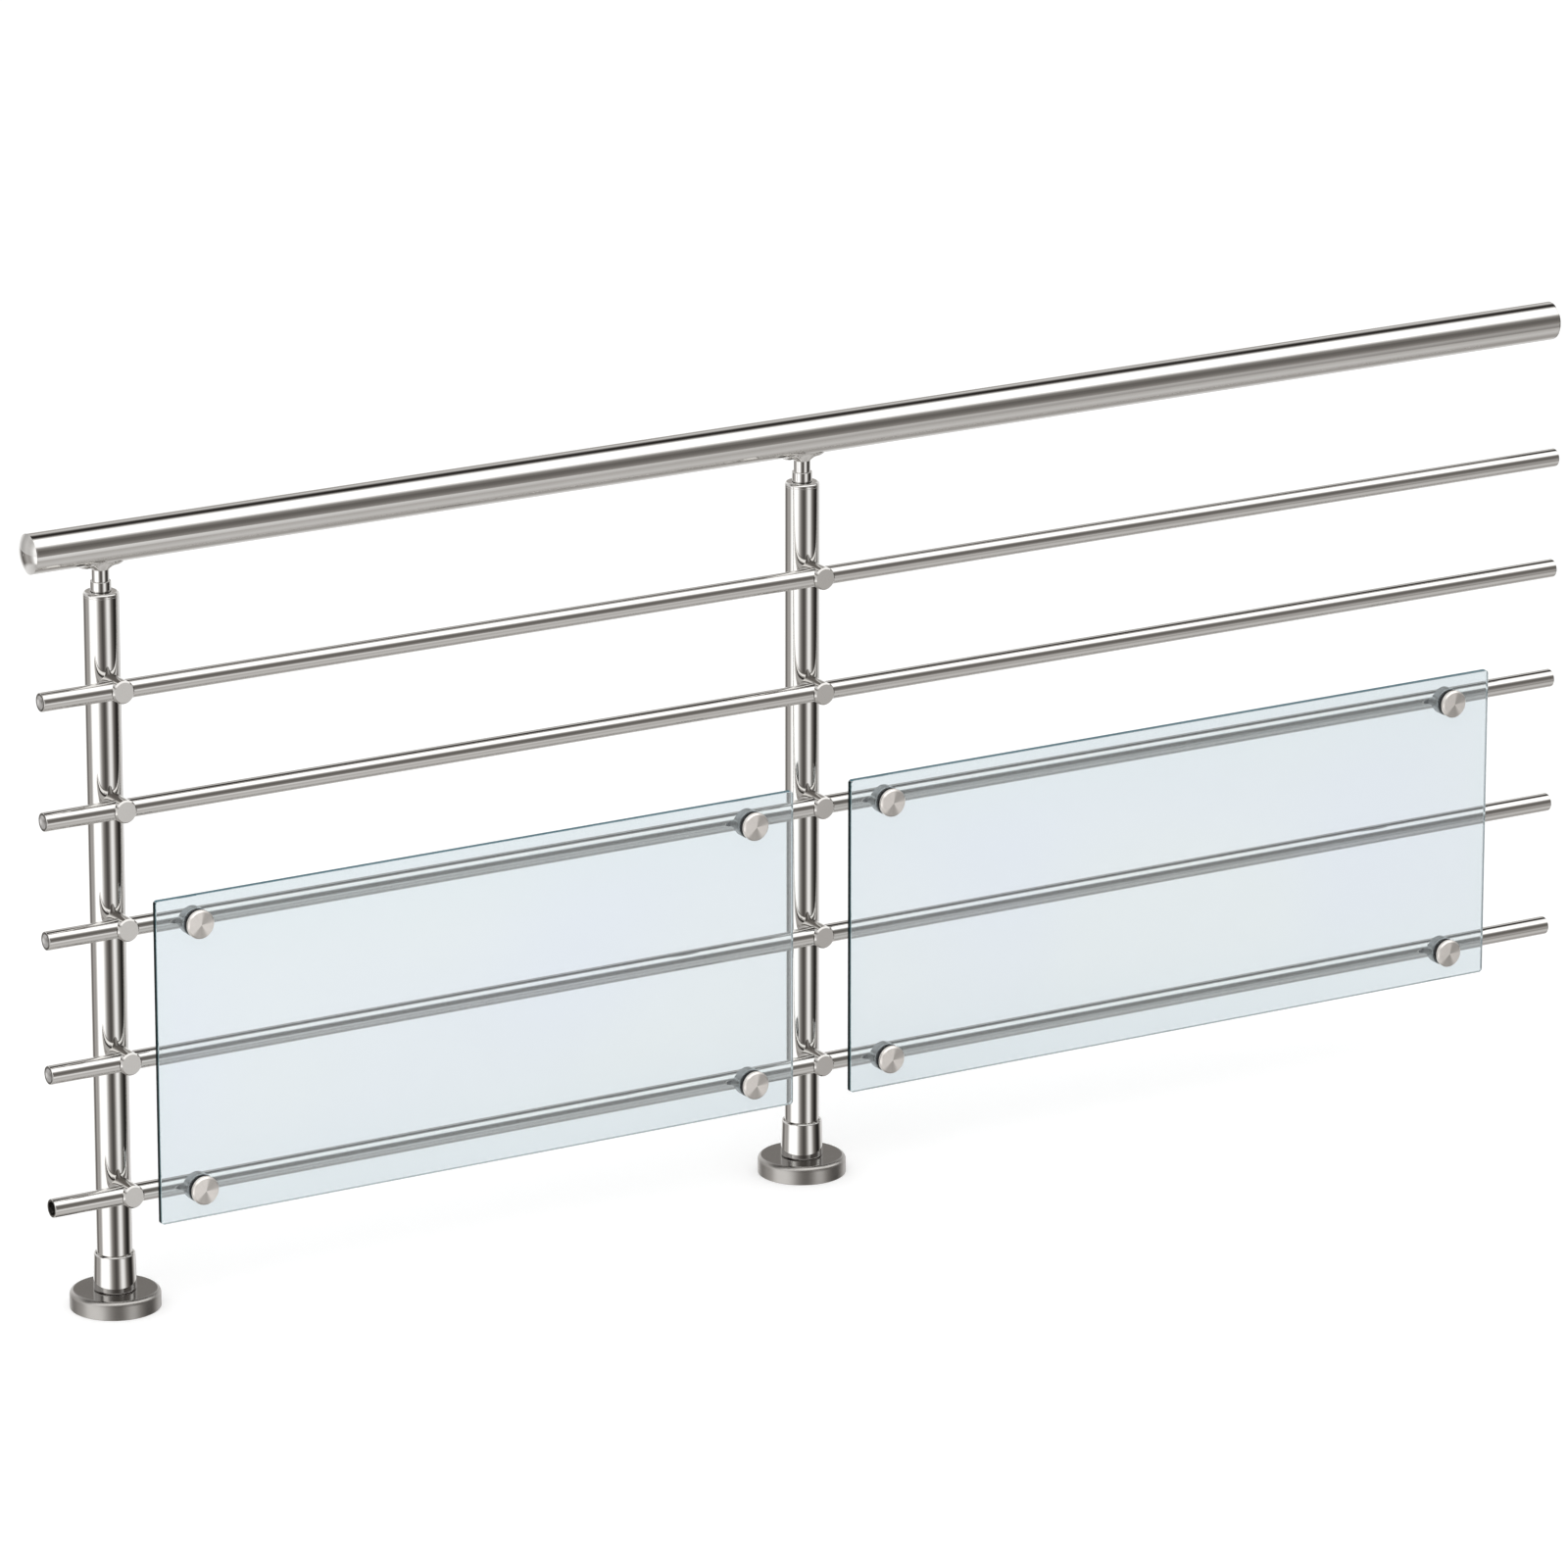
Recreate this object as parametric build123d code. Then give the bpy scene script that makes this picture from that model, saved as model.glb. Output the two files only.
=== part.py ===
from build123d import *
import math
import os

# A stainless railing section with two clear panels. X runs along the railing to the right, the panels
# face -Y, Z is up. The origin is the centre of the left post's foot, on the floor. All sizes in mm.

# Layout
post_spacing = 950.0
left_overhang = 102.0
right_overhang = 1083.0
lowest_bar_height = 153.0
lower_bar_pitch = 165.0
upper_bar_pitch = 145.0
lower_gap_count = 2
upper_gap_count = 2
handrail_above_bar = 167.0
handrail_gap = 33.0
bar_gap = 8.3

# Handrail
handrail_diameter = 48.3
handrail_wall = 2.0
handrail_left_inset = 10.0
handrail_right_reach = 16.0
rail_cap_dome = 6.5
rail_cap_rim = 1.0
rail_cap_spigot = 18.0
rail_cap_wall = 2.5
rail_cap_clearance = 0.1

# Posts
post_diameter = 42.4
post_wall = 2.0

# Post cap
cap_flange_height = 5.0
cap_rim_round = 3.5
cap_recess_diameter = 27.5
cap_recess_depth = 1.5
cap_spigot_length = 22.0
cap_spigot_clearance = 0.1

# Stem between post and handrail
stem_diameter = 20.5
stem_thread_diameter = 12.0
stem_thread_length = 34.0
stem_collar_diameter = 24.5
stem_collar_height = 14.0
stem_collar_clearance = 0.2
stem_edge = 0.6

# Saddle plate under the handrail
saddle_length = 58.0
saddle_width = 27.0
saddle_thickness = 3.5
saddle_end_taper = 6.5
saddle_boss_drop = 6.5
saddle_boss_flare = 3.0
saddle_screw_offset = 18.0
saddle_screw_diameter = 4.8
saddle_screw_head = 8.0
saddle_screw_length = 14.0
saddle_screw_socket = 3.0
saddle_screw_clearance = 0.25

# Foot
flange_gap = 3.0
flange_thickness = 6.0
flange_bolt_inset = 12.0
flange_bolt_count = 4
flange_bolt_diameter = 11.0
weld_leg = 3.0
rosette_diameter = 109.0
rosette_height = 22.5
rosette_wall = 1.5
rosette_round = 6.0
rosette_lip = 0.8
rosette_clearance = 0.5
foot_collar_height = 46.0
foot_collar_base_wall = 4.5
foot_collar_top_wall = 3.2
foot_collar_clearance = 0.3
foot_collar_round = 2.0
foot_collar_lead = 1.2
foot_screw_height = 12.0
foot_screw_diameter = 6.0
foot_screw_length = 4.0
foot_screw_socket = 3.0

# Crossbars
bar_diameter = 23.0
bar_wall = 3.0
bar_end_round = 1.0
plug_length = 14.0
plug_wall = 2.0
plug_dish_depth = 2.2
plug_dish_rim = 0.8

# Crossbar holders
holder_wall = 2.2
holder_front_wall = 2.7
holder_chamfer = 1.8
holder_bore_clearance = 0.3
holder_screw_diameter = 6.0
holder_screw_head = 12.0
holder_screw_length = 16.0
holder_screw_socket = 4.0
holder_screw_clearance = 0.2
grub_diameter = 5.0
grub_recess = 0.3
grub_socket = 2.5
countersink_angle = 90.0
countersink_lead = 2.5
screw_socket_depth = 1.6

# Panels
panel_thickness = 8.0
panel_margin = 35.0
panel_start = 27.0
left_panel_end_gap = 55.0
right_panel_width = 940.0
panel_corner = 4.0
panel_arris = 0.6
fixing_inset = 56.0

# Panel fixings, from the bar outwards
fixing_diameter = 35.0
spacer_body = 10.5
spacer_wrap = 2.5
spacer_edge = 0.6
rear_gasket_thickness = 1.0
rear_gasket_inset = 1.0
front_gasket_thickness = 2.5
front_gasket_inset = 0.4
front_cap_thickness = 5.5
front_cap_bevel = 2.0
stud_diameter = 8.0
stud_tail = 3.0
stud_cap_depth = 3.5
stud_clearance = 0.2
bush_diameter = 16.0
bush_clearance = 0.2

# Worked out from the sizes above
post_radius = post_diameter / 2
rail_radius = handrail_diameter / 2
bar_radius = bar_diameter / 2
bar_offset = post_radius + bar_gap + bar_radius
bar_left = -left_overhang
bar_right = post_spacing + right_overhang
rail_left = bar_left + handrail_left_inset
rail_right = bar_right + handrail_right_reach
bar_bore_diameter = bar_diameter - 2 * bar_wall
low_heights = [lowest_bar_height + i * lower_bar_pitch for i in range(lower_gap_count + 1)]
high_heights = [low_heights[-1] + (i + 1) * upper_bar_pitch for i in range(upper_gap_count)]
bar_heights = sorted(low_heights + high_heights, reverse=True)
handrail_height = bar_heights[0] + handrail_above_bar
post_height = handrail_height - rail_radius - handrail_gap
panel_rail_heights = (low_heights[0], low_heights[-1])
left_panel_width = post_spacing - panel_start - left_panel_end_gap
holder_bore_radius = bar_radius + holder_bore_clearance
holder_diameter = 2 * (holder_bore_radius + holder_wall)
holder_reach = bar_offset + holder_bore_radius + holder_front_wall
grub_length = holder_bore_clearance + holder_wall - grub_recess
flange_diameter = rosette_diameter - 2 * (rosette_wall + flange_gap)
flange_bolt_circle = flange_diameter - 2 * flange_bolt_inset
foot_collar_bore = post_diameter + 2 * foot_collar_clearance
cap_floor_height = post_height - cap_recess_depth
stem_base_height = cap_floor_height + stem_collar_height
saddle_bottom = handrail_height - rail_radius - saddle_thickness
boss_bottom = handrail_height - rail_radius - saddle_boss_drop
bar_front = bar_offset + bar_radius
spacer_back = bar_front - spacer_wrap
spacer_front = bar_front + spacer_body
panel_back = spacer_front + rear_gasket_thickness
panel_front = panel_back + panel_thickness
cap_back = panel_front + front_gasket_thickness

posts = {"left": 0.0, "middle": post_spacing}
panels = {
    "left": (panel_start, left_panel_width),
    "right": (post_spacing + panel_start, right_panel_width),
}
UP_FROM = (Align.CENTER, Align.CENTER, Align.MIN)


def rod(diameter, length):
    """Round rod that stands on the XY plane."""
    return Cylinder(diameter / 2, length, align=UP_FROM)


def ring(outer_diameter, inner_diameter, length):
    """Round ring or tube that stands on the XY plane."""
    return rod(outer_diameter, length) - rod(inner_diameter, length)


def along_x(shape, x, y, z):
    """Lay a piece that stands on Z along +X, from the given point."""
    return Pos(x, y, z) * Rot(0, 90, 0) * shape


def towards_front(shape, x, depth, z):
    """Lay a piece that stands on Z along -Y, from the given distance in front of the posts."""
    return Pos(x, -depth, z) * Rot(90, 0, 0) * shape


def top_edges(shape):
    """Edges at the highest level of a piece."""
    return shape.edges().group_by(Axis.Z)[-1]


def bottom_edges(shape):
    """Edges at the lowest level of a piece."""
    return shape.edges().group_by(Axis.Z)[0]


def hex_socket(across_flats, depth):
    """Hexagonal key socket cut downwards from the XY plane."""
    return extrude(RegularPolygon(across_flats / 2, 6, major_radius=False), -depth)


def countersunk_screw(shank, head, length, socket):
    """Countersunk screw, head flush with the XY plane and shank pointing down."""
    head_depth = (head - shank) / 2 / math.tan(math.radians(countersink_angle / 2))
    body = Pos(0, 0, -length) * rod(shank, length)
    body += Pos(0, 0, -head_depth) * Cone(shank / 2, head / 2, head_depth, align=UP_FROM)
    return body - hex_socket(socket, screw_socket_depth)


def countersunk_hole(shank, head, clearance, length):
    """Cutter for a countersunk screw whose head is flush with the XY plane."""
    head_depth = (head - shank) / 2 / math.tan(math.radians(countersink_angle / 2))
    wide = shank / 2 + clearance
    cut = Pos(0, 0, -length) * Cylinder(wide, length, align=UP_FROM)
    cut += Pos(0, 0, -head_depth) * Cone(shank / 2, head / 2, head_depth, align=UP_FROM)
    return cut + rod(head, countersink_lead)


def grub_screw(diameter, length, socket):
    """Grub screw that stands on the XY plane on its flat tip, with its key socket on top."""
    body = rod(diameter, length)
    return body - Pos(0, 0, length) * hex_socket(socket, screw_socket_depth)


def handrail_tube():
    """Handrail, drilled underneath for the saddle screws."""
    body = ring(handrail_diameter, handrail_diameter - 2 * handrail_wall, rail_right - rail_left)
    tube = along_x(body, rail_left, 0, handrail_height)
    drill = rod(saddle_screw_diameter, rail_radius)
    for post_x in posts.values():
        for side in (-1, 1):
            tube -= Pos(post_x + side * saddle_screw_offset, 0, handrail_height - rail_radius) * drill
    return tube


def handrail_cap():
    """Domed end cap that stands on the XY plane, dome up, with a hollow spigot below."""
    dome_radius = (rail_radius ** 2 + rail_cap_dome ** 2) / (2 * rail_cap_dome)
    rim = rod(handrail_diameter, rail_cap_rim + rail_cap_dome)
    ball = Pos(0, 0, rail_cap_rim + rail_cap_dome - dome_radius) * Sphere(dome_radius)
    spigot_diameter = handrail_diameter - 2 * (handrail_wall + rail_cap_clearance)
    spigot = Pos(0, 0, -rail_cap_spigot) * ring(
        spigot_diameter, spigot_diameter - 2 * rail_cap_wall, rail_cap_spigot
    )
    return (rim & ball) + spigot


def handrail_caps():
    """The two end caps, each seated on its end of the tube."""
    left = Pos(rail_left, 0, handrail_height) * Rot(0, -90, 0) * handrail_cap()
    right = Pos(rail_right, 0, handrail_height) * Rot(0, 90, 0) * handrail_cap()
    return {"handrail_cap_left": left, "handrail_cap_right": right}


def post_tube(post_x):
    """Post tube, drilled at the front for the holder screws."""
    length = post_height - cap_flange_height - flange_thickness
    tube = Pos(post_x, 0, flange_thickness) * ring(post_diameter, post_diameter - 2 * post_wall, length)
    for height in bar_heights:
        tube -= towards_front(rod(holder_screw_diameter, post_radius), post_x, 0, height)
    return tube


def post_cap(post_x):
    """Cap with a rounded rim, a recess for the stem collar and a threaded bore, pressed in the post."""
    flange = fillet(top_edges(rod(post_diameter, cap_flange_height)), cap_rim_round)
    flange -= Pos(0, 0, cap_flange_height - cap_recess_depth) * rod(cap_recess_diameter, cap_recess_depth)
    spigot_diameter = post_diameter - 2 * (post_wall + cap_spigot_clearance)
    cap = flange + Pos(0, 0, -cap_spigot_length) * rod(spigot_diameter, cap_spigot_length)
    cap -= Pos(0, 0, -cap_spigot_length) * rod(stem_thread_diameter, cap_spigot_length + cap_flange_height)
    return Pos(post_x, 0, post_height - cap_flange_height) * cap


def stem_collar(post_x):
    """Ring between the cap and the stem, seated in the cap's recess."""
    body = fillet(top_edges(rod(stem_collar_diameter, stem_collar_height)), stem_edge)
    body -= rod(stem_thread_diameter + 2 * stem_collar_clearance, stem_collar_height)
    return Pos(post_x, 0, cap_floor_height) * body


def saddle_stem(post_x):
    """Turned stem from the collar up to the saddle plate, with its threaded end in the cap."""
    stem = Pos(post_x, 0, stem_base_height) * rod(stem_diameter, boss_bottom - stem_base_height)
    thread = chamfer(bottom_edges(rod(stem_thread_diameter, stem_thread_length)), stem_edge)
    return stem + Pos(post_x, 0, stem_base_height - stem_thread_length) * thread


def saddle_plate(post_x):
    """Plate curved to the handrail, thin at its ends, with a flared boss for the stem in the middle."""
    half = saddle_length / 2
    taper = saddle_end_taper * saddle_boss_drop / saddle_thickness
    strap = extrude(SlotOverall(saddle_length, saddle_width), handrail_height - boss_bottom)
    strap = Pos(0, 0, boss_bottom) * strap
    shell = along_x(rod(2 * (rail_radius + saddle_thickness), saddle_length), -half, 0, handrail_height)
    outline = Polyline(
        (-half + taper, boss_bottom),
        (half - taper, boss_bottom),
        (half, handrail_height - rail_radius),
        (half, handrail_height),
        (-half, handrail_height),
        (-half, handrail_height - rail_radius),
        close=True,
    )
    boat = extrude(Plane.XZ * make_face(outline), saddle_width / 2, both=True)
    boss_height = handrail_height - boss_bottom
    flare_height = saddle_boss_drop
    boss = Cone(stem_diameter / 2, stem_diameter / 2 + saddle_boss_flare, flare_height, align=UP_FROM)
    boss += Pos(0, 0, flare_height) * rod(stem_diameter, boss_height - flare_height)
    plate = (strap & shell & boat) + Pos(0, 0, boss_bottom) * boss
    plate -= along_x(rod(handrail_diameter, saddle_length), -half, 0, handrail_height)
    cutter = Rot(180, 0, 0) * countersunk_hole(
        saddle_screw_diameter, saddle_screw_head, saddle_screw_clearance, saddle_screw_length
    )
    for side in (-1, 1):
        plate -= Pos(side * saddle_screw_offset, 0, saddle_bottom) * cutter
    return Pos(post_x, 0, 0) * plate


def saddle_screws():
    """Countersunk screws that hold the saddle plates to the handrail."""
    screw = Rot(180, 0, 0) * countersunk_screw(
        saddle_screw_diameter, saddle_screw_head, saddle_screw_length, saddle_screw_socket
    )
    places = [x + side * saddle_screw_offset for x in posts.values() for side in (-1, 1)]
    return Compound(children=[Pos(x, 0, saddle_bottom) * screw for x in places])


def floor_flange(post_x):
    """Round flange welded under the post, with its bolt holes and weld seam."""
    plate = rod(flange_diameter, flange_thickness)
    weld = Cone(post_radius + weld_leg, post_radius, weld_leg, align=UP_FROM) - rod(post_diameter, weld_leg)
    plate += Pos(0, 0, flange_thickness) * weld
    angle = 180 / flange_bolt_count
    for place in PolarLocations(flange_bolt_circle / 2, flange_bolt_count, start_angle=angle):
        plate -= place * rod(flange_bolt_diameter, flange_thickness)
    return Pos(post_x, 0, 0) * plate


def cover_rosette(post_x):
    """Round cover shell over the floor flange, open underneath."""
    outer = fillet(top_edges(rod(rosette_diameter, rosette_height)), rosette_round)
    outer = chamfer(bottom_edges(outer), rosette_lip)
    inner = rod(rosette_diameter - 2 * rosette_wall, rosette_height - rosette_wall)
    inner = fillet(top_edges(inner), rosette_round - rosette_wall)
    opening = rod(post_diameter + 2 * rosette_clearance, rosette_height)
    return Pos(post_x, 0, 0) * (outer - inner - opening)


def foot_collar(post_x):
    """Tapered collar round the post that holds the rosette down."""
    bore_radius = foot_collar_bore / 2
    base = bore_radius + foot_collar_base_wall
    body = Cone(base, bore_radius + foot_collar_top_wall, foot_collar_height, align=UP_FROM)
    body = fillet(bottom_edges(body), foot_collar_round)
    body = fillet(top_edges(body), foot_collar_round)
    body -= rod(foot_collar_bore, foot_collar_height)
    lead = Cone(bore_radius, bore_radius + foot_collar_lead, foot_collar_lead, align=UP_FROM)
    body -= Pos(0, 0, foot_collar_height - foot_collar_lead) * lead
    drill = Pos(0, 0, foot_screw_height) * Rot(-90, 0, 0) * rod(foot_screw_diameter, base)
    return Pos(post_x, 0, rosette_height) * (body - drill)


def foot_collar_screws():
    """Grub screws at the back that clamp the foot collars to the posts."""
    screw = Rot(-90, 0, 0) * grub_screw(foot_screw_diameter, foot_screw_length, foot_screw_socket)
    height = rosette_height + foot_screw_height
    return Compound(children=[Pos(x, post_radius, height) * screw for x in posts.values()])


def fixing_points(side):
    """Centres of a panel's four fixings, as X and height."""
    start, width = panels[side]
    across = (start + fixing_inset, start + width - fixing_inset)
    return [(x, height) for height in panel_rail_heights for x in across]


def crossbar(height):
    """Crossbar tube with rounded ends, drilled where panel studs enter it."""
    length = bar_right - bar_left
    body = rod(bar_diameter, length)
    body = fillet(bottom_edges(body), bar_end_round)
    body = fillet(top_edges(body), bar_end_round)
    bar = along_x(body - rod(bar_bore_diameter, length), bar_left, -bar_offset, height)
    for side in panels:
        for x, stud_height in fixing_points(side):
            if stud_height == height:
                bar -= towards_front(rod(stud_diameter, bar_radius), x, bar_offset, height)
    return bar


def bar_plug():
    """Plug for a crossbar's end: a cup with a dished face, which lies in the XY plane and looks up."""
    dish_radius = bar_bore_diameter / 2 - plug_dish_rim
    ball_radius = (dish_radius ** 2 + plug_dish_depth ** 2) / (2 * plug_dish_depth)
    plug = Pos(0, 0, -plug_length) * rod(bar_bore_diameter, plug_length)
    plug -= Pos(0, 0, ball_radius - plug_dish_depth) * Sphere(ball_radius)
    hollow_depth = plug_length - plug_dish_depth - plug_wall
    return plug - Pos(0, 0, -plug_length) * rod(bar_bore_diameter - 2 * plug_wall, hollow_depth)


def bar_plugs():
    """Plugs in every crossbar end but the left end of the lowest bar, which is open."""
    left = Pos(bar_left, -bar_offset, 0) * Rot(0, -90, 0) * bar_plug()
    right = Pos(bar_right, -bar_offset, 0) * Rot(0, 90, 0) * bar_plug()
    return {
        "crossbar_plugs_left": Compound(children=[Pos(0, 0, z) * left for z in bar_heights[:-1]]),
        "crossbar_plugs_right": Compound(children=[Pos(0, 0, z) * right for z in bar_heights]),
    }


def bar_holder(post_x, height):
    """Crossbar holder with a saddle back on the post, a cross-bore and a chamfered front face."""
    body = chamfer(top_edges(rod(holder_diameter, holder_reach)), holder_chamfer)
    holder = towards_front(body, 0, 0, 0)
    holder -= Pos(0, 0, -holder_diameter / 2) * rod(post_diameter, holder_diameter)
    holder -= along_x(rod(2 * holder_bore_radius, holder_diameter), -holder_diameter / 2, -bar_offset, 0)
    seat = bar_offset - holder_bore_radius
    cutter = countersunk_hole(holder_screw_diameter, holder_screw_head, holder_screw_clearance, seat)
    holder -= towards_front(cutter, 0, seat, 0)
    drill = Pos(0, -bar_offset, -holder_diameter / 2) * rod(grub_diameter, holder_diameter / 2)
    return Pos(post_x, 0, height) * (holder - drill)


def bar_holders():
    """One holder for each crossing of a crossbar and a post, numbered from the top."""
    return {
        f"{side}_holder_{number}": bar_holder(post_x, height)
        for side, post_x in posts.items()
        for number, height in enumerate(bar_heights, start=1)
    }


def holder_screws():
    """Countersunk screws from the holders' cross-bores into the posts."""
    screw = countersunk_screw(
        holder_screw_diameter, holder_screw_head, holder_screw_length, holder_screw_socket
    )
    seat = bar_offset - holder_bore_radius
    places = [(x, z) for x in posts.values() for z in bar_heights]
    return Compound(children=[towards_front(screw, x, seat, z) for x, z in places])


def holder_grub_screws():
    """Grub screws that press on the crossbars from below."""
    screw = Rot(180, 0, 0) * grub_screw(grub_diameter, grub_length, grub_socket)
    places = [(x, z) for x in posts.values() for z in bar_heights]
    return Compound(children=[Pos(x, -bar_offset, z - bar_radius) * screw for x, z in places])


def clear_panel(side):
    """Clear panel with small round corners, polished edges and a hole for each fixing."""
    start, width = panels[side]
    low, high = panel_rail_heights
    height = high - low + 2 * panel_margin
    sheet = extrude(RectangleRounded(width, height, panel_corner), panel_thickness)
    sheet = chamfer(top_edges(sheet), panel_arris)
    sheet = chamfer(bottom_edges(sheet), panel_arris)
    panel = towards_front(sheet, start + width / 2, panel_back, (low + high) / 2)
    for x, z in fixing_points(side):
        panel -= towards_front(rod(bush_diameter, panel_thickness), x, panel_back, z)
    return panel


def panel_spacer():
    """Spacer from the crossbar to the panel, with a groove that sits on the bar."""
    body = rod(fixing_diameter, spacer_front - spacer_back)
    body = chamfer(top_edges(body), spacer_edge)
    body = chamfer(bottom_edges(body), spacer_edge)
    spacer = towards_front(body, 0, spacer_back, 0)
    spacer -= along_x(rod(bar_diameter, fixing_diameter), -fixing_diameter / 2, -bar_offset, 0)
    return spacer - towards_front(rod(stud_diameter, spacer_front), 0, 0, 0)


def panel_front_cap():
    """Front cap with a bevelled rim and a blind threaded hole at the back."""
    body = chamfer(top_edges(rod(fixing_diameter, front_cap_thickness)), front_cap_bevel)
    return towards_front(body - rod(stud_diameter, stud_cap_depth), 0, cap_back, 0)


def stud_ring(outer_diameter, back, thickness, clearance):
    """Ring round a fixing's stud."""
    inner = stud_diameter + 2 * clearance
    return towards_front(ring(outer_diameter, inner, thickness), 0, back, 0)


def rear_gasket():
    """Soft ring between spacer and panel."""
    diameter = fixing_diameter - 2 * rear_gasket_inset
    return stud_ring(diameter, spacer_front, rear_gasket_thickness, stud_clearance)


def front_gasket():
    """Soft ring between panel and front cap."""
    diameter = fixing_diameter - 2 * front_gasket_inset
    return stud_ring(diameter, panel_front, front_gasket_thickness, stud_clearance)


def panel_bush():
    """Bush that fills the panel's hole and carries the stud."""
    return stud_ring(bush_diameter, panel_back, panel_thickness, bush_clearance)


def panel_stud():
    """Threaded stud from the crossbar's wall to the cap."""
    back = bar_front - bar_wall - stud_tail
    return towards_front(rod(stud_diameter, cap_back + stud_cap_depth - back), 0, back, 0)


def at_fixings(piece, sides):
    """Copies of a piece at every fixing of the given panels, as one group."""
    points = [point for side in sides for point in fixing_points(side)]
    return Compound(children=[Pos(x, 0, z) * piece for x, z in points])


def panel_fixings():
    """All pieces of the eight fixings."""
    pieces = {
        "panel_rear_gaskets": at_fixings(rear_gasket(), panels),
        "panel_front_gaskets": at_fixings(front_gasket(), panels),
        "panel_bushes": at_fixings(panel_bush(), panels),
        "panel_studs": at_fixings(panel_stud(), panels),
    }
    for side in panels:
        pieces[f"{side}_panel_spacers"] = at_fixings(panel_spacer(), [side])
        pieces[f"{side}_panel_caps"] = at_fixings(panel_front_cap(), [side])
    return pieces


def post_pieces(side, post_x):
    """Everything that belongs to one post."""
    return {
        f"{side}_post_tube": post_tube(post_x),
        f"{side}_post_cap": post_cap(post_x),
        f"{side}_stem_collar": stem_collar(post_x),
        f"{side}_saddle_stem": saddle_stem(post_x),
        f"{side}_saddle_plate": saddle_plate(post_x),
        f"{side}_floor_flange": floor_flange(post_x),
        f"{side}_cover_rosette": cover_rosette(post_x),
        f"{side}_foot_collar": foot_collar(post_x),
    }


def railing():
    """Every piece of the railing section by name."""
    pieces = {"handrail_tube": handrail_tube()}
    pieces.update(handrail_caps())
    for side, post_x in posts.items():
        pieces.update(post_pieces(side, post_x))
    pieces["saddle_screws"] = saddle_screws()
    pieces["foot_collar_screws"] = foot_collar_screws()
    for number, height in enumerate(bar_heights, start=1):
        pieces[f"crossbar_{number}"] = crossbar(height)
    pieces.update(bar_plugs())
    pieces.update(bar_holders())
    pieces["holder_screws"] = holder_screws()
    pieces["holder_grub_screws"] = holder_grub_screws()
    for side in panels:
        pieces[f"{side}_panel"] = clear_panel(side)
    pieces.update(panel_fixings())
    return pieces


os.makedirs("parts", exist_ok=True)
for name, piece in railing().items():
    export_step(piece, f"parts/{name}.step")
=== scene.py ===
"""Stainless railing section with two clear panels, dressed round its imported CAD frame.

X runs along the railing to the right, the panels face -Y and Z is up. All sizes are in metres.
"""

import logging
import math
from dataclasses import dataclass, field, replace
from enum import Enum
from typing import Any, Iterable, Optional, Sequence, Union

import bmesh
import bpy
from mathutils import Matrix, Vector


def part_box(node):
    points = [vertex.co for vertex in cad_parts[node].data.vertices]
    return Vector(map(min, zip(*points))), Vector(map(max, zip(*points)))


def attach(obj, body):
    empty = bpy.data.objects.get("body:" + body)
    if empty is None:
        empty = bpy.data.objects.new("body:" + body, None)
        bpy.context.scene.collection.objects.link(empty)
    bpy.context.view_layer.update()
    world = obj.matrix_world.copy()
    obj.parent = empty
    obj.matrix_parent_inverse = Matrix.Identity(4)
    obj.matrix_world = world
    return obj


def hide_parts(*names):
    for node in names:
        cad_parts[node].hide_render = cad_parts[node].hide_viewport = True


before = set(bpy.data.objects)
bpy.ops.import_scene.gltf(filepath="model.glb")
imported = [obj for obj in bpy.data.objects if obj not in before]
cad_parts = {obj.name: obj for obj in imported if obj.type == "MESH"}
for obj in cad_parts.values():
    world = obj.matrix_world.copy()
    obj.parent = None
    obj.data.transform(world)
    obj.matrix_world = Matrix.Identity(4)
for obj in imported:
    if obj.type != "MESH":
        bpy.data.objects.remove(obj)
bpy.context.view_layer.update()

BODY = "root"
FULL_TURN = 360.0
ON_AXIS = 1e-7
FIXING_COLUMNS = 2
FIXINGS = 4
WHITE = (1.0, 1.0, 1.0)

Colour = tuple[float, float, float]
Pair = tuple[float, float]
Profile = list[Pair]
Value = Union["Signal", bpy.types.Node, bpy.types.NodeSocket, float, Sequence[float]]

log = logging.getLogger("railing")


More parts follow.
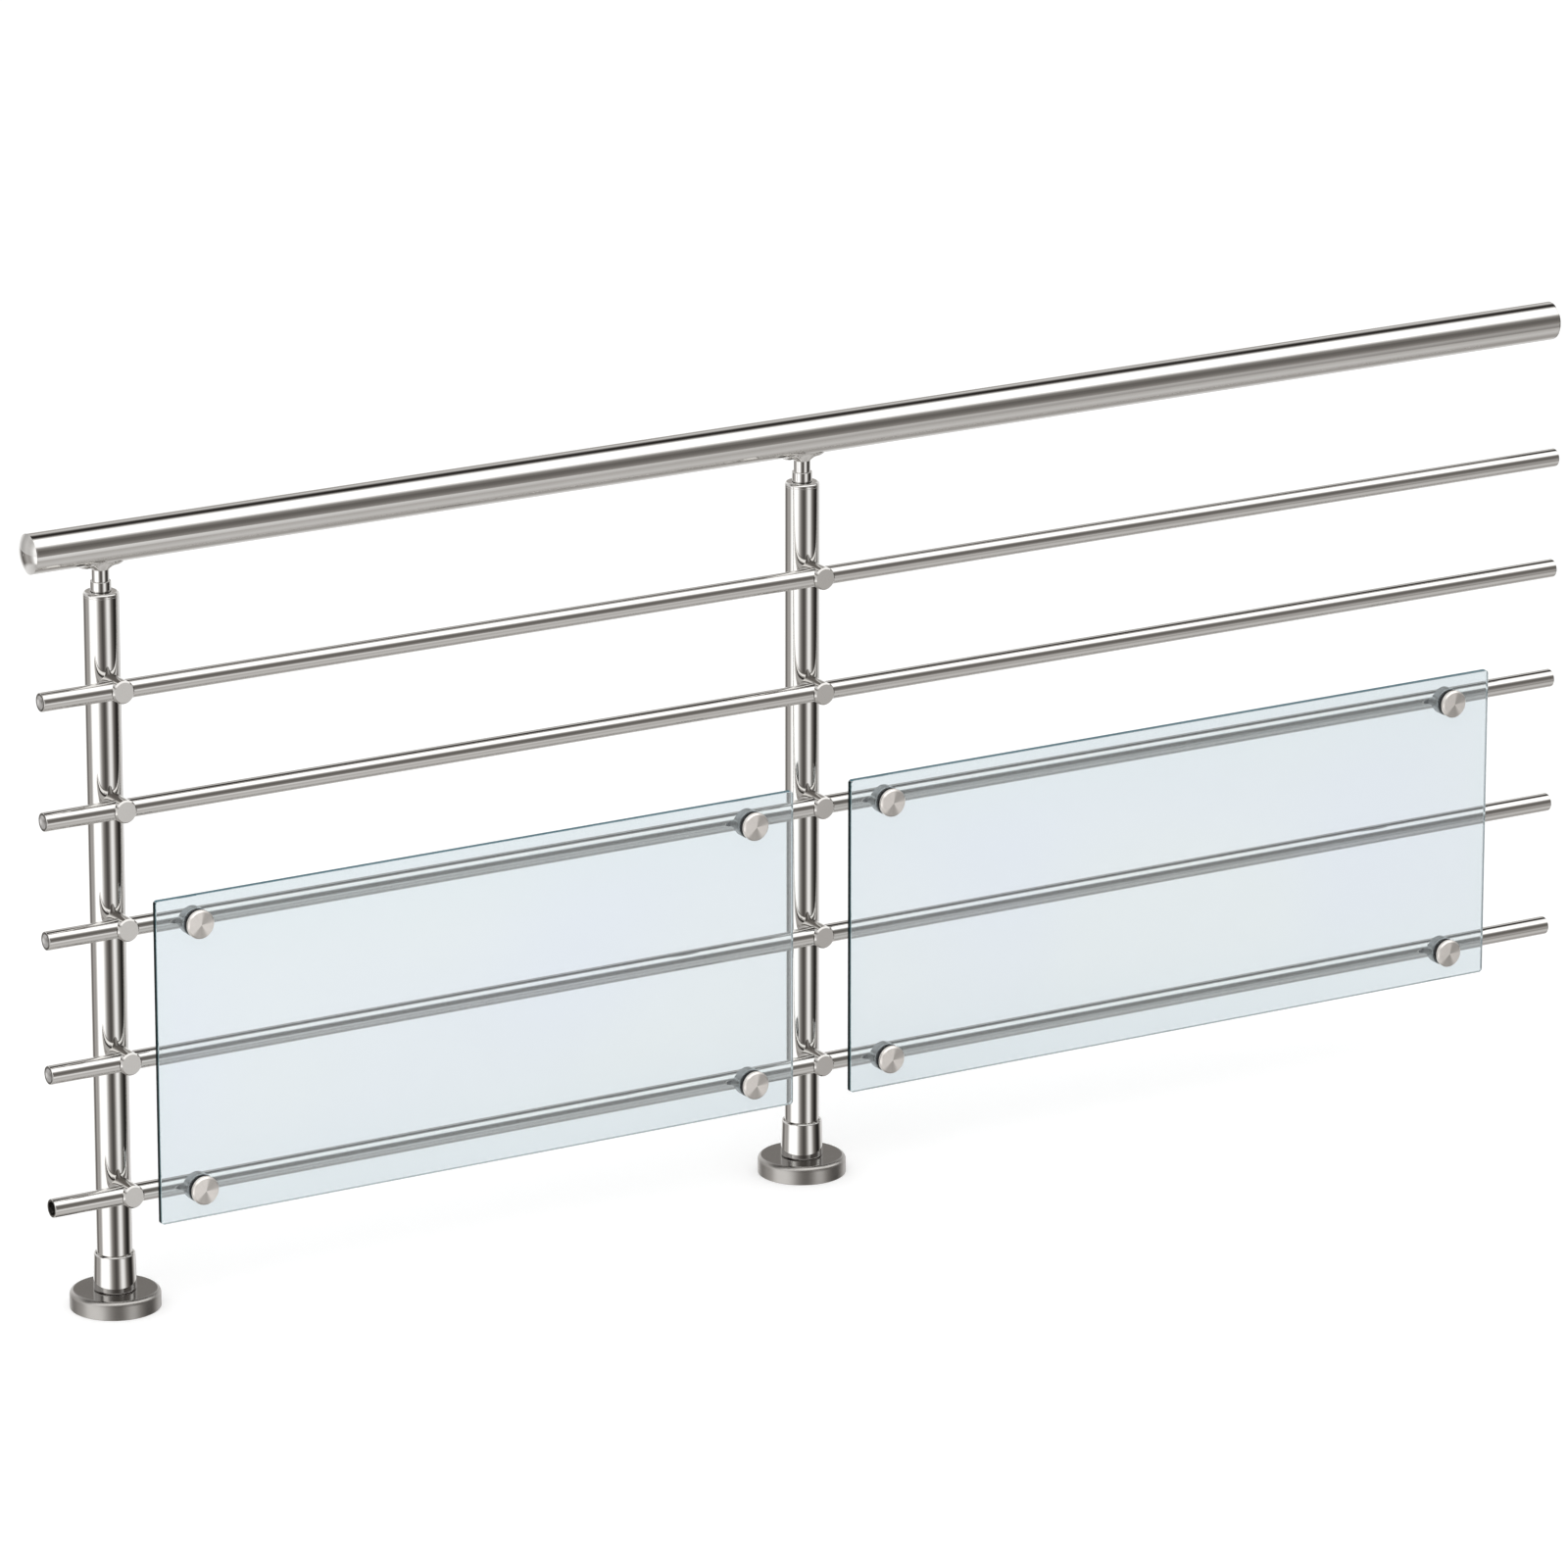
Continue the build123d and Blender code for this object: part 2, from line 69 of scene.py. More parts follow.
class Signal:
    """A node value that adds Math nodes to its tree when it is calculated with."""

    def __init__(self, bench: "Bench", socket: bpy.types.NodeSocket) -> None:
        """Wraps a socket.

        Args:
            bench: The tree that the socket belongs to.
            socket: The output that carries the value.
        """
        self.bench = bench
        self.socket = socket

    def _math(self, operation: str, *values: Value) -> "Signal":
        """Adds one Math node.

        Args:
            operation: Blender's name of the operation.
            values: What goes into its sockets, in order.

        Returns:
            The node's result.
        """
        node = self.bench.node("ShaderNodeMath", {"operation": operation}, dict(enumerate(values)))
        return self.bench.out(node)

    def __add__(self, other: Value) -> "Signal":
        """Sum."""
        return self._math("ADD", self, other)

    def __sub__(self, other: Value) -> "Signal":
        """Difference."""
        return self._math("SUBTRACT", self, other)

    def __rsub__(self, other: Value) -> "Signal":
        """Difference with this value on the right."""
        return self._math("SUBTRACT", other, self)

    def __mul__(self, other: Value) -> "Signal":
        """Product."""
        return self._math("MULTIPLY", self, other)

    def __truediv__(self, other: Value) -> "Signal":
        """Quotient."""
        return self._math("DIVIDE", self, other)

    def __rtruediv__(self, other: Value) -> "Signal":
        """Quotient with this value underneath."""
        return self._math("DIVIDE", other, self)

    def __neg__(self) -> "Signal":
        """The value with its sign turned."""
        return self._math("MULTIPLY", self, -1.0)

    def __abs__(self) -> "Signal":
        """The value without its sign."""
        return self._math("ABSOLUTE", self)

    __radd__ = __add__
    __rmul__ = __mul__

    def smaller(self, other: Value) -> "Signal":
        """The smaller of two values."""
        return self._math("MINIMUM", self, other)

    def larger(self, other: Value) -> "Signal":
        """The larger of two values."""
        return self._math("MAXIMUM", self, other)

    def remainder(self, other: Value) -> "Signal":
        """What is left after a division."""
        return self._math("MODULO", self, other)

    def floor(self) -> "Signal":
        """The whole number below."""
        return self._math("FLOOR", self)

    def angle_to(self, other: Value) -> "Signal":
        """The angle in radians whose sine goes with this value and whose cosine with the other."""
        return self._math("ARCTAN2", self, other)

    def cosine(self) -> "Signal":
        """Cosine of an angle in radians."""
        return self._math("COSINE", self)

    def root(self) -> "Signal":
        """Square root."""
        return self._math("SQRT", self)

    def rise(self, low: float, high: float) -> "Signal":
        """A smooth step.

        Args:
            low: Where the step is still 0.
            high: Where it has reached 1.

        Returns:
            The step, between 0 and 1.
        """
        settings = {"interpolation_type": "SMOOTHSTEP"}
        node = self.bench.node("ShaderNodeMapRange", settings, {0: self, 1: low, 2: high, 3: 0.0, 4: 1.0})
        return self.bench.out(node)

    def between(self, start: Pair, end: Pair) -> "Signal":
        """1 between two smooth steps, and 0 outside them."""
        return self.rise(*start) * (1.0 - self.rise(*end))


class Bench:
    """Adds nodes to one tree and links them."""

    def __init__(self, tree: bpy.types.NodeTree) -> None:
        """Takes a tree and empties it.

        Args:
            tree: A material's, a world's or a geometry tree.
        """
        self.tree = tree
        tree.nodes.clear()

    def node(self, kind: str, settings: dict[str, Any], sockets: dict[Any, Value]) -> bpy.types.Node:
        """Adds a node.

        Args:
            kind: Blender's type of node.
            settings: Its properties, set before its sockets. A ramp's stops go under "stops".
            sockets: A value or a link for each input, by name or number. A node stands for its first output,
                and a colour may leave out its alpha.

        Returns:
            The new node.
        """
        made = self.tree.nodes.new(kind)
        for key, value in settings.items():
            if key == "stops":
                self._set_stops(made.color_ramp, value)
            else:
                setattr(made, key, value)
        for key, value in sockets.items():
            entry = made.inputs[key]
            source = value.socket if isinstance(value, Signal) else value
            if isinstance(source, bpy.types.Node):
                source = source.outputs[0]
            if isinstance(source, bpy.types.NodeSocket):
                self.tree.links.new(source, entry)
            elif entry.type == "RGBA" and len(source) == len(WHITE):
                entry.default_value = (*source, 1.0)
            else:
                entry.default_value = source
        return made

    @staticmethod
    def _set_stops(ramp: bpy.types.ColorRamp, stops: list[tuple[float, Colour]]) -> None:
        """Gives a ramp its stops.

        Args:
            ramp: The ramp of a Color Ramp node.
            stops: Place and colour of each stop, in order.
        """
        while len(ramp.elements) < len(stops):
            ramp.elements.new(1.0)
        for element, (place, colour) in zip(ramp.elements, stops):
            element.position = place
            element.color = (*colour, 1.0)

    def out(self, node: bpy.types.Node, name: Any = 0) -> Signal:
        """An output of a node as a value to calculate with."""
        return Signal(self, node.outputs[name])

    def split(self, vector: Value) -> list[Signal]:
        """The three parts of a vector."""
        node = self.node("ShaderNodeSeparateXYZ", {}, {0: vector})
        return [self.out(node, part) for part in range(3)]

    def joined(self, parts: dict[int, Value]) -> bpy.types.Node:
        """A vector from its parts, by number. The others are 0."""
        return self.node("ShaderNodeCombineXYZ", {}, parts)

    def mixed(self, factor: Value, first: Value, second: Value) -> bpy.types.NodeSocket:
        """A blend of two colours.

        Args:
            factor: 0 for the first colour, 1 for the second.
            first: Colour or link.
            second: Colour or link.

        Returns:
            The blended colour's socket.
        """
        node = self.node("ShaderNodeMix", {"data_type": "RGBA"}, {0: factor, 6: first, 7: second})
        return node.outputs[2]

    def noise(self, place: Value, waves: Union[float, Colour], detail: float) -> Signal:
        """Soft noise between 0 and 1.

        Args:
            place: Coordinates to read it at.
            waves: Waves in a metre, all ways or along X, Y and Z.
            detail: How many finer layers it has.

        Returns:
            The noise.
        """
        if isinstance(waves, tuple):
            place, waves = self.node("ShaderNodeMapping", {}, {"Vector": place, "Scale": waves}), 1.0
        node = self.node("ShaderNodeTexNoise", {}, {"Vector": place, "Scale": waves, "Detail": detail})
        return self.out(node)

    def object_place(self) -> bpy.types.NodeSocket:
        """Where a point is on its object."""
        return self.node("ShaderNodeTexCoord", {}, {}).outputs["Object"]

    def facing(self) -> list[Signal]:
        """The three parts of the way that the surface faces."""
        return self.split(self.node("ShaderNodeNewGeometry", {}, {}).outputs["Normal"])

    def ray(self, kind: str) -> Signal:
        """Whether the ray is of a kind, such as Camera."""
        return self.out(self.node("ShaderNodeLightPath", {}, {}), f"Is {kind} Ray")

    def bump(self, height: Value, depth: float, strength: float) -> bpy.types.Node:
        """A bumped normal.

        Args:
            height: Height over the surface, between 0 and 1.
            depth: What a height of 1 stands for, in metres.
            strength: How much of it shows.

        Returns:
            The Bump node.
        """
        return self.node("ShaderNodeBump", {}, {"Strength": strength, "Distance": depth, "Height": height})

    def shader(self, sockets: dict[str, Value]) -> bpy.types.Node:
        """A Principled shader."""
        return self.node("ShaderNodeBsdfPrincipled", {}, sockets)

    def either(self, factor: Value, first: Value, second: Value) -> bpy.types.Node:
        """The first shader at a factor of 0, and the second at 1."""
        return self.node("ShaderNodeMixShader", {}, {0: factor, 1: first, 2: second})


class Grain(Enum):
    """Which way a polish runs, as waves in a metre along X, Y and Z."""

    ALONG_X = (5.0, 320.0, 320.0)
    ALONG_Y = (320.0, 5.0, 320.0)
    ALONG_Z = (320.0, 320.0, 5.0)


class Turning(Enum):
    """The axis that a piece is turned on, as which of X, Y and Z are its width, side width and height."""

    ALONG_X = (1, 2, 0)
    TO_FRONT = (0, 2, 1)
    UPRIGHT = (0, 1, 2)


@dataclass(frozen=True)
class Pattern:
    """Soft noise over a piece, smoothly stepped where it has limits."""

    waves: Union[float, Colour]
    detail: float
    limits: Optional[Pair] = None

    def on(self, bench: Bench) -> Signal:
        """The pattern at each point of the piece."""
        value = bench.noise(bench.object_place(), self.waves, self.detail)
        return value.rise(*self.limits) if self.limits else value


@dataclass(frozen=True)
class Finish:
    """A finish that makes its material once and hands it to every piece that takes it."""

    name: str
    slot: str

    def surface(self, bench: Bench) -> bpy.types.Node:
        """Builds the shader.

        Args:
            bench: The material's tree.

        Returns:
            The shader.
        """
        raise NotImplementedError(self.name)

    def material(self) -> bpy.types.Material:
        """Makes the material at its first use.

        Returns:
            The finish as a material.
        """
        made = bpy.data.materials.get(self.name)
        if made:
            return made
        made = bpy.data.materials.new(self.name)
        made.use_nodes = True
        bench = Bench(made.node_tree)
        bench.node("ShaderNodeOutputMaterial", {}, {"Surface": self.surface(bench)})
        return made


@dataclass(frozen=True)
class Skin(Finish):
    """A skin between two tones, with a fine grain and, on some, soft patches.

    Tone, roughness and bump each take a share of the patches and a share of the grain.
    """

    dark: Colour
    light: Colour
    grain: Pattern
    roughness: float
    rough_shares: Pair
    patches: Optional[Pattern] = None
    tone_shares: Pair = (0.0, 1.0)
    bump_shares: Pair = (0.0, 1.0)
    bump_depth: float = 0.00003
    bump_strength: float = 0.35
    metal: float = 1.0
    gloss: float = 0.5

    def surface(self, bench: Bench) -> bpy.types.Node:
        """Builds the shader from the patches and the grain.

        Args:
            bench: The material's tree.

        Returns:
            The shader.
        """
        grain = self.grain.on(bench)
        layers = (self.patches.on(bench) if self.patches else grain, grain)

        def taken(shares: Pair) -> Signal:
            """The patches and the grain by their shares."""
            return sum(layer * share for layer, share in zip(layers, shares) if share)

        return bench.shader({
            "Base Color": bench.mixed(taken(self.tone_shares), self.dark, self.light),
            "Metallic": self.metal,
            "Roughness": taken(self.rough_shares) + self.roughness,
            "Specular IOR Level": self.gloss,
            "Normal": bench.bump(taken(self.bump_shares), self.bump_depth, self.bump_strength),
        })


@dataclass(frozen=True)
class SpunSteel(Finish):
    """Steel faced on a lathe, with fine rings, and painted reflection: dark sectors at fixed angles in its
    colour.
    """

    light: Colour = (0.90, 0.858, 0.82)
    dark: Colour = (0.47, 0.445, 0.42)
    # Angles, limits and depth of the painted reflection's dark sectors.
    painted_dark_fans: Pair = (-102.0, 42.0)
    painted_fan_limits: Pair = (0.66, 0.97)
    painted_fan_depth: float = 0.85
    metal: float = 0.72
    roughness: float = 0.24
    ring_roughness: float = 0.12
    rings: float = 900.0
    smallest_radius: float = 0.0001
    around_waves: Pair = (2.5, 1.0)
    across_waves: float = 40.0
    uneven_waves: float = 1.6
    detail: float = 3.0
    shine: float = 0.72
    uneven_shine: float = 0.3
    ring_shine: float = 0.16
    bump_depth: float = 0.00006
    bump_strength: float = 0.35

    def surface(self, bench: Bench) -> bpy.types.Node:
        """Builds the turned shader from the piece's own "turned" place, measured from its axis.

        Args:
            bench: The material's tree.

        Returns:
            The shader.
        """
        turned = bench.node("ShaderNodeAttribute", {"attribute_name": "turned"}, {})
        across, _, up = bench.split(turned.outputs["Vector"])
        radius = (across * across + up * up).root()
        angle = up.angle_to(across)
        rings = bench.noise(bench.joined({0: radius * self.rings}), 1.0, self.detail)
        turns = (angle.cosine(), up / radius.larger(self.smallest_radius))
        around = [turn * waves for turn, waves in zip(turns, self.around_waves)]
        spot = bench.joined(dict(enumerate([*around, radius * self.across_waves])))
        uneven = bench.noise(spot, self.uneven_waves, self.detail)
        # Painted reflection: dark sectors at fixed angles round the axis darken the colour, in place of the
        # spun face's fanned highlights.
        painted_fans: Value = 0.0
        for turn in self.painted_dark_fans:
            painted_fans = (angle - math.radians(turn)).cosine().rise(*self.painted_fan_limits).larger(painted_fans)
        shine = self.shine - painted_fans * self.painted_fan_depth + uneven * self.uneven_shine + rings * self.ring_shine
        return bench.shader({
            "Base Color": bench.mixed(shine, self.dark, self.light),
            "Metallic": self.metal,
            "Roughness": self.roughness + self.ring_roughness * rings,
            "Normal": bench.bump(rings, self.bump_depth, self.bump_strength),
        })


@dataclass(frozen=True)
class SatinSteel(Finish):
    """Satin turned steel: soft on its sides, and smoother on its level faces, whose colour is darkened with
    painted shade.
    """

    tone: Colour = (0.46, 0.445, 0.425)
    # Painted shade: the darker colour of level faces.
    level_painted_shade_tone: Colour = (0.27, 0.26, 0.25)
    worn_tone: Colour = (0.35, 0.34, 0.33)
    roughness: float = 0.30
    level_roughness: float = 0.10
    level_limits: Pair = (0.90, 0.995)
    rings: Pattern = Pattern((30.0, 30.0, 1500.0), 2.0)
    marks: Pattern = Pattern(38.0, 4.0, (0.40, 0.70))
    ring_shares: Pair = (0.08, 0.05)
    mark_shares: Pair = (0.10, 0.03)
    bump_depth: float = 0.00001
    bump_strength: float = 0.3

    def surface(self, bench: Bench) -> bpy.types.Node:
        """Builds the satin shader, whose rings and handling marks take shares of the tone and the roughness.

        Args:
            bench: The material's tree.

        Returns:
            The shader.
        """
        level = abs(bench.facing()[2]).rise(*self.level_limits)
        rings, marks = self.rings.on(bench), self.marks.on(bench)
        # Painted shade: level faces take the darker tone.
        tone = bench.mixed(level, self.tone, self.level_painted_shade_tone)
        drop = (self.level_roughness - self.roughness) * level
        worn, rough = (
            mark * marks + ring * rings for mark, ring in zip(self.mark_shares, self.ring_shares)
        )
        return bench.shader({
            "Base Color": bench.mixed(worn, tone, self.worn_tone),
            "Metallic": 1.0,
            "Roughness": self.roughness + drop + rough,
            "Normal": bench.bump(rings, self.bump_depth, self.bump_strength),
        })


@dataclass(frozen=True)
class ClearSheet(Finish):
    """Clear sheet with a pale blue-green body, a trace of haze and polished edges.

    Its edges carry painted light and shade: the left end is painted nearly black with a teal line along the
    front, the top is painted teal, and the others are painted pale.
    Middle, halves and front say where the sheet is, so that its faces know how near its edges they are.
    """

    middle: Pair
    halves: Pair
    front: float
    ior: float = 1.5
    middle_tint: Colour = (0.712, 0.761, 0.818)
    pale_tint: Colour = (0.731, 0.781, 0.800)
    border_tint: Colour = (0.712, 0.773, 0.80)
    patches: Pattern = Pattern(2.2, 1.0, (0.34, 0.66))
    clouds: Pattern = Pattern(14.0, 3.0)
    specks: Pattern = Pattern(420.0, 2.0, (0.62, 0.8))
    border_starts: Pair = (0.92, 0.35)
    side_border: float = 0.8
    turned_limits: Pair = (0.55, 0.85)
    half_blend: float = 0.1
    line_limits: Pair = (0.0006, 0.0026)
    clear_roughness: Pair = (0.003, 0.005)
    soft_roughness: Pair = (0.25, 0.1)
    edge_gloss: float = 0.10
    end_cover: Pair = (0.97, -0.42)
    rim_cover: Pair = (0.72, 0.22)
    haze_cover: Pair = (0.04, 0.02)
    speck_cover: float = 0.02
    haze_colour: Colour = (0.80, 0.86, 0.90)
    # Painted shade and painted light on the sheet's edges, one colour for each end and rim.
    painted_left_end_shade: Colour = (0.002, 0.011, 0.013)
    painted_left_end_line: Colour = (0.040, 0.165, 0.185)
    painted_right_end_light: Colour = (0.50, 0.61, 0.65)
    painted_top_edge_tone: Colour = (0.055, 0.165, 0.21)
    painted_bottom_edge_tone: Colour = (0.17, 0.27, 0.28)
    passing_tint: Colour = (0.98, 0.99, 0.99)

    def surface(self, bench: Bench) -> bpy.types.Node:
        """Builds the sheet: tinted glass, with soft edges in painted light and shade, and haze over it.

        Shadows and the steel's mirror images pass straight through, while the camera's rays are bent.

        Args:
            bench: The material's tree.

        Returns:
            The shader.
        """

        def varied(amounts: Pair, by: Signal) -> Signal:
            """The first amount, and the second by a share."""
            return amounts[0] + amounts[1] * by

        at_x, at_y, at_z = bench.split(bench.object_place())
        across, _, up = bench.facing()
        end, rim = (abs(way).rise(*self.turned_limits) for way in (across, up))
        right, high = (
            at.rise(middle - self.half_blend, middle + self.half_blend)
            for at, middle in zip((at_x, at_z), self.middle)
        )
        beside, border = (
            abs(at - middle).rise(half * start, half)
            for at, middle, half, start in zip((at_x, at_z), self.middle, self.halves, self.border_starts)
        )
        line = 1.0 - at_y.rise(*(self.front + limit for limit in self.line_limits))
        clouds = self.clouds.on(bench)
        body = bench.mixed(self.patches.on(bench), self.middle_tint, self.pale_tint)
        border = border.larger(beside * self.side_border)
        clear = bench.shader({
            "Base Color": bench.mixed(border, body, self.border_tint),
            "Roughness": varied(self.clear_roughness, clouds),
            "IOR": self.ior,
            "Transmission Weight": 1.0,
        })
        # Painted shade on the left end and the rims, painted light on the right end.
        painted_end_tone = bench.mixed(right, bench.mixed(line, self.painted_left_end_shade, self.painted_left_end_line), self.painted_right_end_light)
        painted_rim_tone = bench.mixed(high, self.painted_bottom_edge_tone, self.painted_top_edge_tone)
        soft = bench.shader({
            "Base Color": bench.mixed(rim, bench.mixed(end, self.haze_colour, painted_end_tone), painted_rim_tone),
            "Roughness": varied(self.soft_roughness, clouds),
            "Specular IOR Level": self.edge_gloss,
        })
        haze = varied(self.haze_cover, clouds) + self.speck_cover * self.specks.on(bench)
        # How far the painted edge colours cover the clear glass.
        edges = (end * varied(self.end_cover, right)).larger(rim * varied(self.rim_cover, high))
        through = bench.node("ShaderNodeBsdfTransparent", {}, {"Color": self.passing_tint})
        mirrored = bench.ray("Glossy") * (1.0 - bench.ray("Transmission"))
        return bench.either(
            bench.ray("Shadow").larger(mirrored), bench.either(haze.larger(edges), clear, soft), through
        )


POLISHED_X = Skin(
    "polish_along_x", "polished_steel", dark=(0.690, 0.678, 0.660), light=(0.735, 0.725, 0.710),
    grain=Pattern(Grain.ALONG_X.value, 3.0), patches=Pattern(11.0, 4.0, (0.42, 0.68)), tone_shares=(0.4, 0.6),
    roughness=0.035, rough_shares=(0.03, 0.02), bump_depth=0.00001,
)
# The holders' polish, along Y, with darker tones than the other polished steel: painted shade.
POLISHED_Y_SHADED = replace(
    POLISHED_X, name="polish_along_y_painted_shade", grain=Pattern(Grain.ALONG_Y.value, 3.0),
    dark=(0.56, 0.545, 0.525), light=(0.61, 0.595, 0.575),
)
POLISHED_Z = replace(POLISHED_X, name="polish_along_z", grain=Pattern(Grain.ALONG_Z.value, 3.0))
# Raw bore wall: a duller steel, darkened further with painted shade of the bore.
RAW_WALL_SHADED = Skin(
    "raw_tube_wall_painted_shade_finish", "polished_steel", dark=(0.12, 0.11, 0.10), light=(0.27, 0.26, 0.245),
    grain=Pattern(260.0, 5.0, (0.35, 0.7)), roughness=0.42, rough_shares=(0.0, 0.2),
    bump_depth=0.00005, bump_strength=0.6,
)
# The spacers' turned sides, darkened with painted shade.
TURNED_SIDE_SHADED = Skin(
    "turned_side_painted_shade_finish", "spun_steel", dark=(0.33, 0.34, 0.34), light=(0.40, 0.41, 0.41),
    grain=Pattern((40.0, 1600.0, 40.0), 2.0), roughness=0.23, rough_shares=(0.0, 0.06), bump_strength=0.12,
)
PLATE = Skin(
    "rolled_plate_finish", "plain_steel", dark=(0.44, 0.43, 0.415), light=(0.60, 0.59, 0.575),
    grain=Pattern((1500.0, 60.0, 60.0), 2.0, (0.52, 0.72)), patches=Pattern(45.0, 5.0),
    tone_shares=(1.0, 0.0), roughness=0.34, rough_shares=(0.16, -0.08),
    bump_shares=(1.0, 1.0), bump_depth=0.00004, bump_strength=0.4,
)
FASTENER = Skin(
    "machined_fastener_finish", "fastener_steel", dark=(0.46, 0.455, 0.45), light=(0.64, 0.635, 0.625),
    grain=Pattern(700.0, 3.0), patches=Pattern(90.0, 2.0), tone_shares=(1.0, 0.0),
    roughness=0.22, rough_shares=(0.0, 0.18),
)
RUBBER = Skin(
    "moulded_rubber_finish", "black_rubber", dark=(0.012, 0.012, 0.013), light=(0.035, 0.035, 0.036),
    grain=Pattern(1400.0, 2.0), patches=Pattern(130.0, 3.0, (0.5, 0.8)), tone_shares=(1.0, 0.0),
    roughness=0.55, rough_shares=(0.0, 0.2), bump_depth=0.00005, bump_strength=0.4, metal=0.0, gloss=0.35,
)
NYLON = Skin(
    "natural_nylon_finish", "nylon", dark=(0.74, 0.74, 0.71), light=(0.84, 0.84, 0.82),
    grain=Pattern(220.0, 3.0), roughness=0.38, rough_shares=(0.0, 0.14), bump_strength=0.3, metal=0.0,
)
SPUN = SpunSteel("spun_face_finish", "spun_steel")
SATIN = SatinSteel("satin_turned_finish", "polished_steel")
SATIN_PLUG = replace(
    SATIN, name="satin_plug_finish", tone=(0.60, 0.59, 0.58), level_painted_shade_tone=(0.60, 0.59, 0.58),
    level_roughness=0.30,
)


def softened(corners: Profile, radii: Sequence[float], steps: int = 4) -> Profile:
    """Rounds the corners of a closed outline.

    Args:
        corners: The outline's corners, in order, as radius and height.
        radii: The rounding at each corner, 0 to leave it sharp.
        steps: Chords in each rounding.

    Returns:
        The outline with an arc at each rounded corner.
    """
    made: Profile = []
    for number, (corner, radius) in enumerate(zip(corners, radii)):
        if radius <= 0:
            made.append(corner)
            continue
        here = Vector(corner)
        before = (Vector(corners[number - 1]) - here).normalized()
        after = (Vector(corners[(number + 1) % len(corners)]) - here).normalized()
        half = before.angle(after) / 2
        reach = radius / math.tan(half)
        centre = here + (before + after).normalized() * (radius / math.sin(half))
        start, end = here + before * reach - centre, here + after * reach - centre
        sweep = start.angle_signed(end)
        for step in range(steps + 1):
            turn = -sweep * step / steps
            cosine, sine = math.cos(turn), math.sin(turn)
            made.append((
                centre.x + start.x * cosine - start.y * sine,
                centre.y + start.x * sine + start.y * cosine,
            ))
    return made


def held(outline: Profile, long_run: float = 0.003, hold: float = 0.0004) -> Profile:
    """Adds a point near each end of a long run, which keeps the run's shading straight.

    Args:
        outline: A closed outline, as radius and height.
        long_run: Runs longer than this get the points.
        hold: How far from the run's ends they are.

    Returns:
        The outline with its holding points.
    """
    made: Profile = []
    for here, after in zip(outline, outline[1:] + outline[:1]):
        made.append(here)
        length = math.dist(here, after)
        if length < long_run or here[0] + after[0] < long_run:
            continue
        shares = [hold / length] * (here[0] > 0) + [1 - hold / length] * (after[0] > 0)
        made += [tuple(a + (b - a) * share for a, b in zip(here, after)) for share in shares]
    return made


def turned_mesh(name: str, outline: Profile, axis: Turning, around: int) -> bpy.types.Mesh:
    """Turns a closed outline about an axis through the origin.

    Args:
        name: The mesh's name.
        outline: Radius and height of each corner. Two neighbours on the axis close the piece there.
        axis: The axis that it turns about.
        around: Steps in a full turn.

    Returns:
        A closed mesh with smooth faces and sharp edges.
    """
    wide, side, tall = axis.value
    rows = []
    for radius, height in held(outline):
        row = []
        for step in range(around if radius > ON_AXIS else 1):
            angle = 2 * math.pi * step / around
            place = [0.0, 0.0, 0.0]
            place[wide], place[side], place[tall] = radius * math.cos(angle), radius * math.sin(angle), height
            row.append(place)
        rows.append(row)
    return skinned_mesh(name, rows)


def skinned_mesh(name: str, places: list[list[Sequence[float]]]) -> bpy.types.Mesh:
    """Skins rings of points, from first to last and back to the first.

    Args:
        name: The mesh's name.
        places: The rings. A ring of one point is a pole, and two poles side by side close the skin.

    Returns:
        A closed mesh with smooth faces and sharp edges.
    """
    made = bmesh.new()
    around = max(len(row) for row in places)
    rows = [[made.verts.new(place) for place in row] for row in places]
    for first, second in zip(rows, rows[1:] + rows[:1]):
        if len(first) == len(second) == 1:
            continue
        for step in range(around):
            after = (step + 1) % around
            if len(first) == 1:
                made.faces.new((first[0], second[after], second[step]))
            elif len(second) == 1:
                made.faces.new((first[step], first[after], second[0]))
            else:
                made.faces.new((first[step], first[after], second[after], second[step]))
    bmesh.ops.recalc_face_normals(made, faces=made.faces[:])
    mesh = bpy.data.meshes.new(name)
    made.to_mesh(mesh)
    made.free()
    shade(mesh)
    return mesh


def shade(mesh: bpy.types.Mesh, sharp_over: float = 28.0) -> None:
    """Shades a mesh smoothly between its sharp edges.

    Args:
        mesh: The mesh.
        sharp_over: An edge is sharp above this angle, in degrees.
    """
    mesh.polygons.foreach_set("use_smooth", [True] * len(mesh.polygons))
    mesh.set_sharp_from_angle(angle=math.radians(sharp_over))
    mesh.update()


def add_piece(data: bpy.types.ID, name: str) -> bpy.types.Object:
    """Puts a mesh, a lamp or a camera in the scene at the origin.

    Args:
        data: The mesh, lamp or camera.
        name: The name of its object.

    Returns:
        The object.
    """
    piece = bpy.data.objects.new(name, data)
    bpy.context.scene.collection.objects.link(piece)
    return piece


def plain_mesh(piece: bpy.types.Object) -> bpy.types.Mesh:
    """A piece's mesh with its modifiers applied."""
    return bpy.data.meshes.new_from_object(piece.evaluated_get(bpy.context.evaluated_depsgraph_get()))


def settle(piece: bpy.types.Object, nodes: Iterable[str]) -> None:
    """Makes a piece ride on the body and stand for its CAD nodes.

    Args:
        piece: The finished piece.
        nodes: The CAD nodes that it replaces.
    """
    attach(piece, BODY)
    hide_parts(*nodes)
    log.info("%s: %d faces, in place of %s", piece.name, len(piece.data.polygons), ", ".join(nodes))


def dress(finish: Finish, nodes: Iterable[str]) -> None:
    """Gives CAD nodes a finish.

    Args:
        finish: The finish.
        nodes: Names of the CAD nodes that keep their shape.
    """
    for name in nodes:
        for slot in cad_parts[name].material_slots:
            slot.material = finish.material()
        log.info("%s: %s", name, finish.name)


def node_middle(name: str) -> Vector:
    """The middle of a CAD node's box."""
    low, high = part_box(name)
    return (low + high) / 2


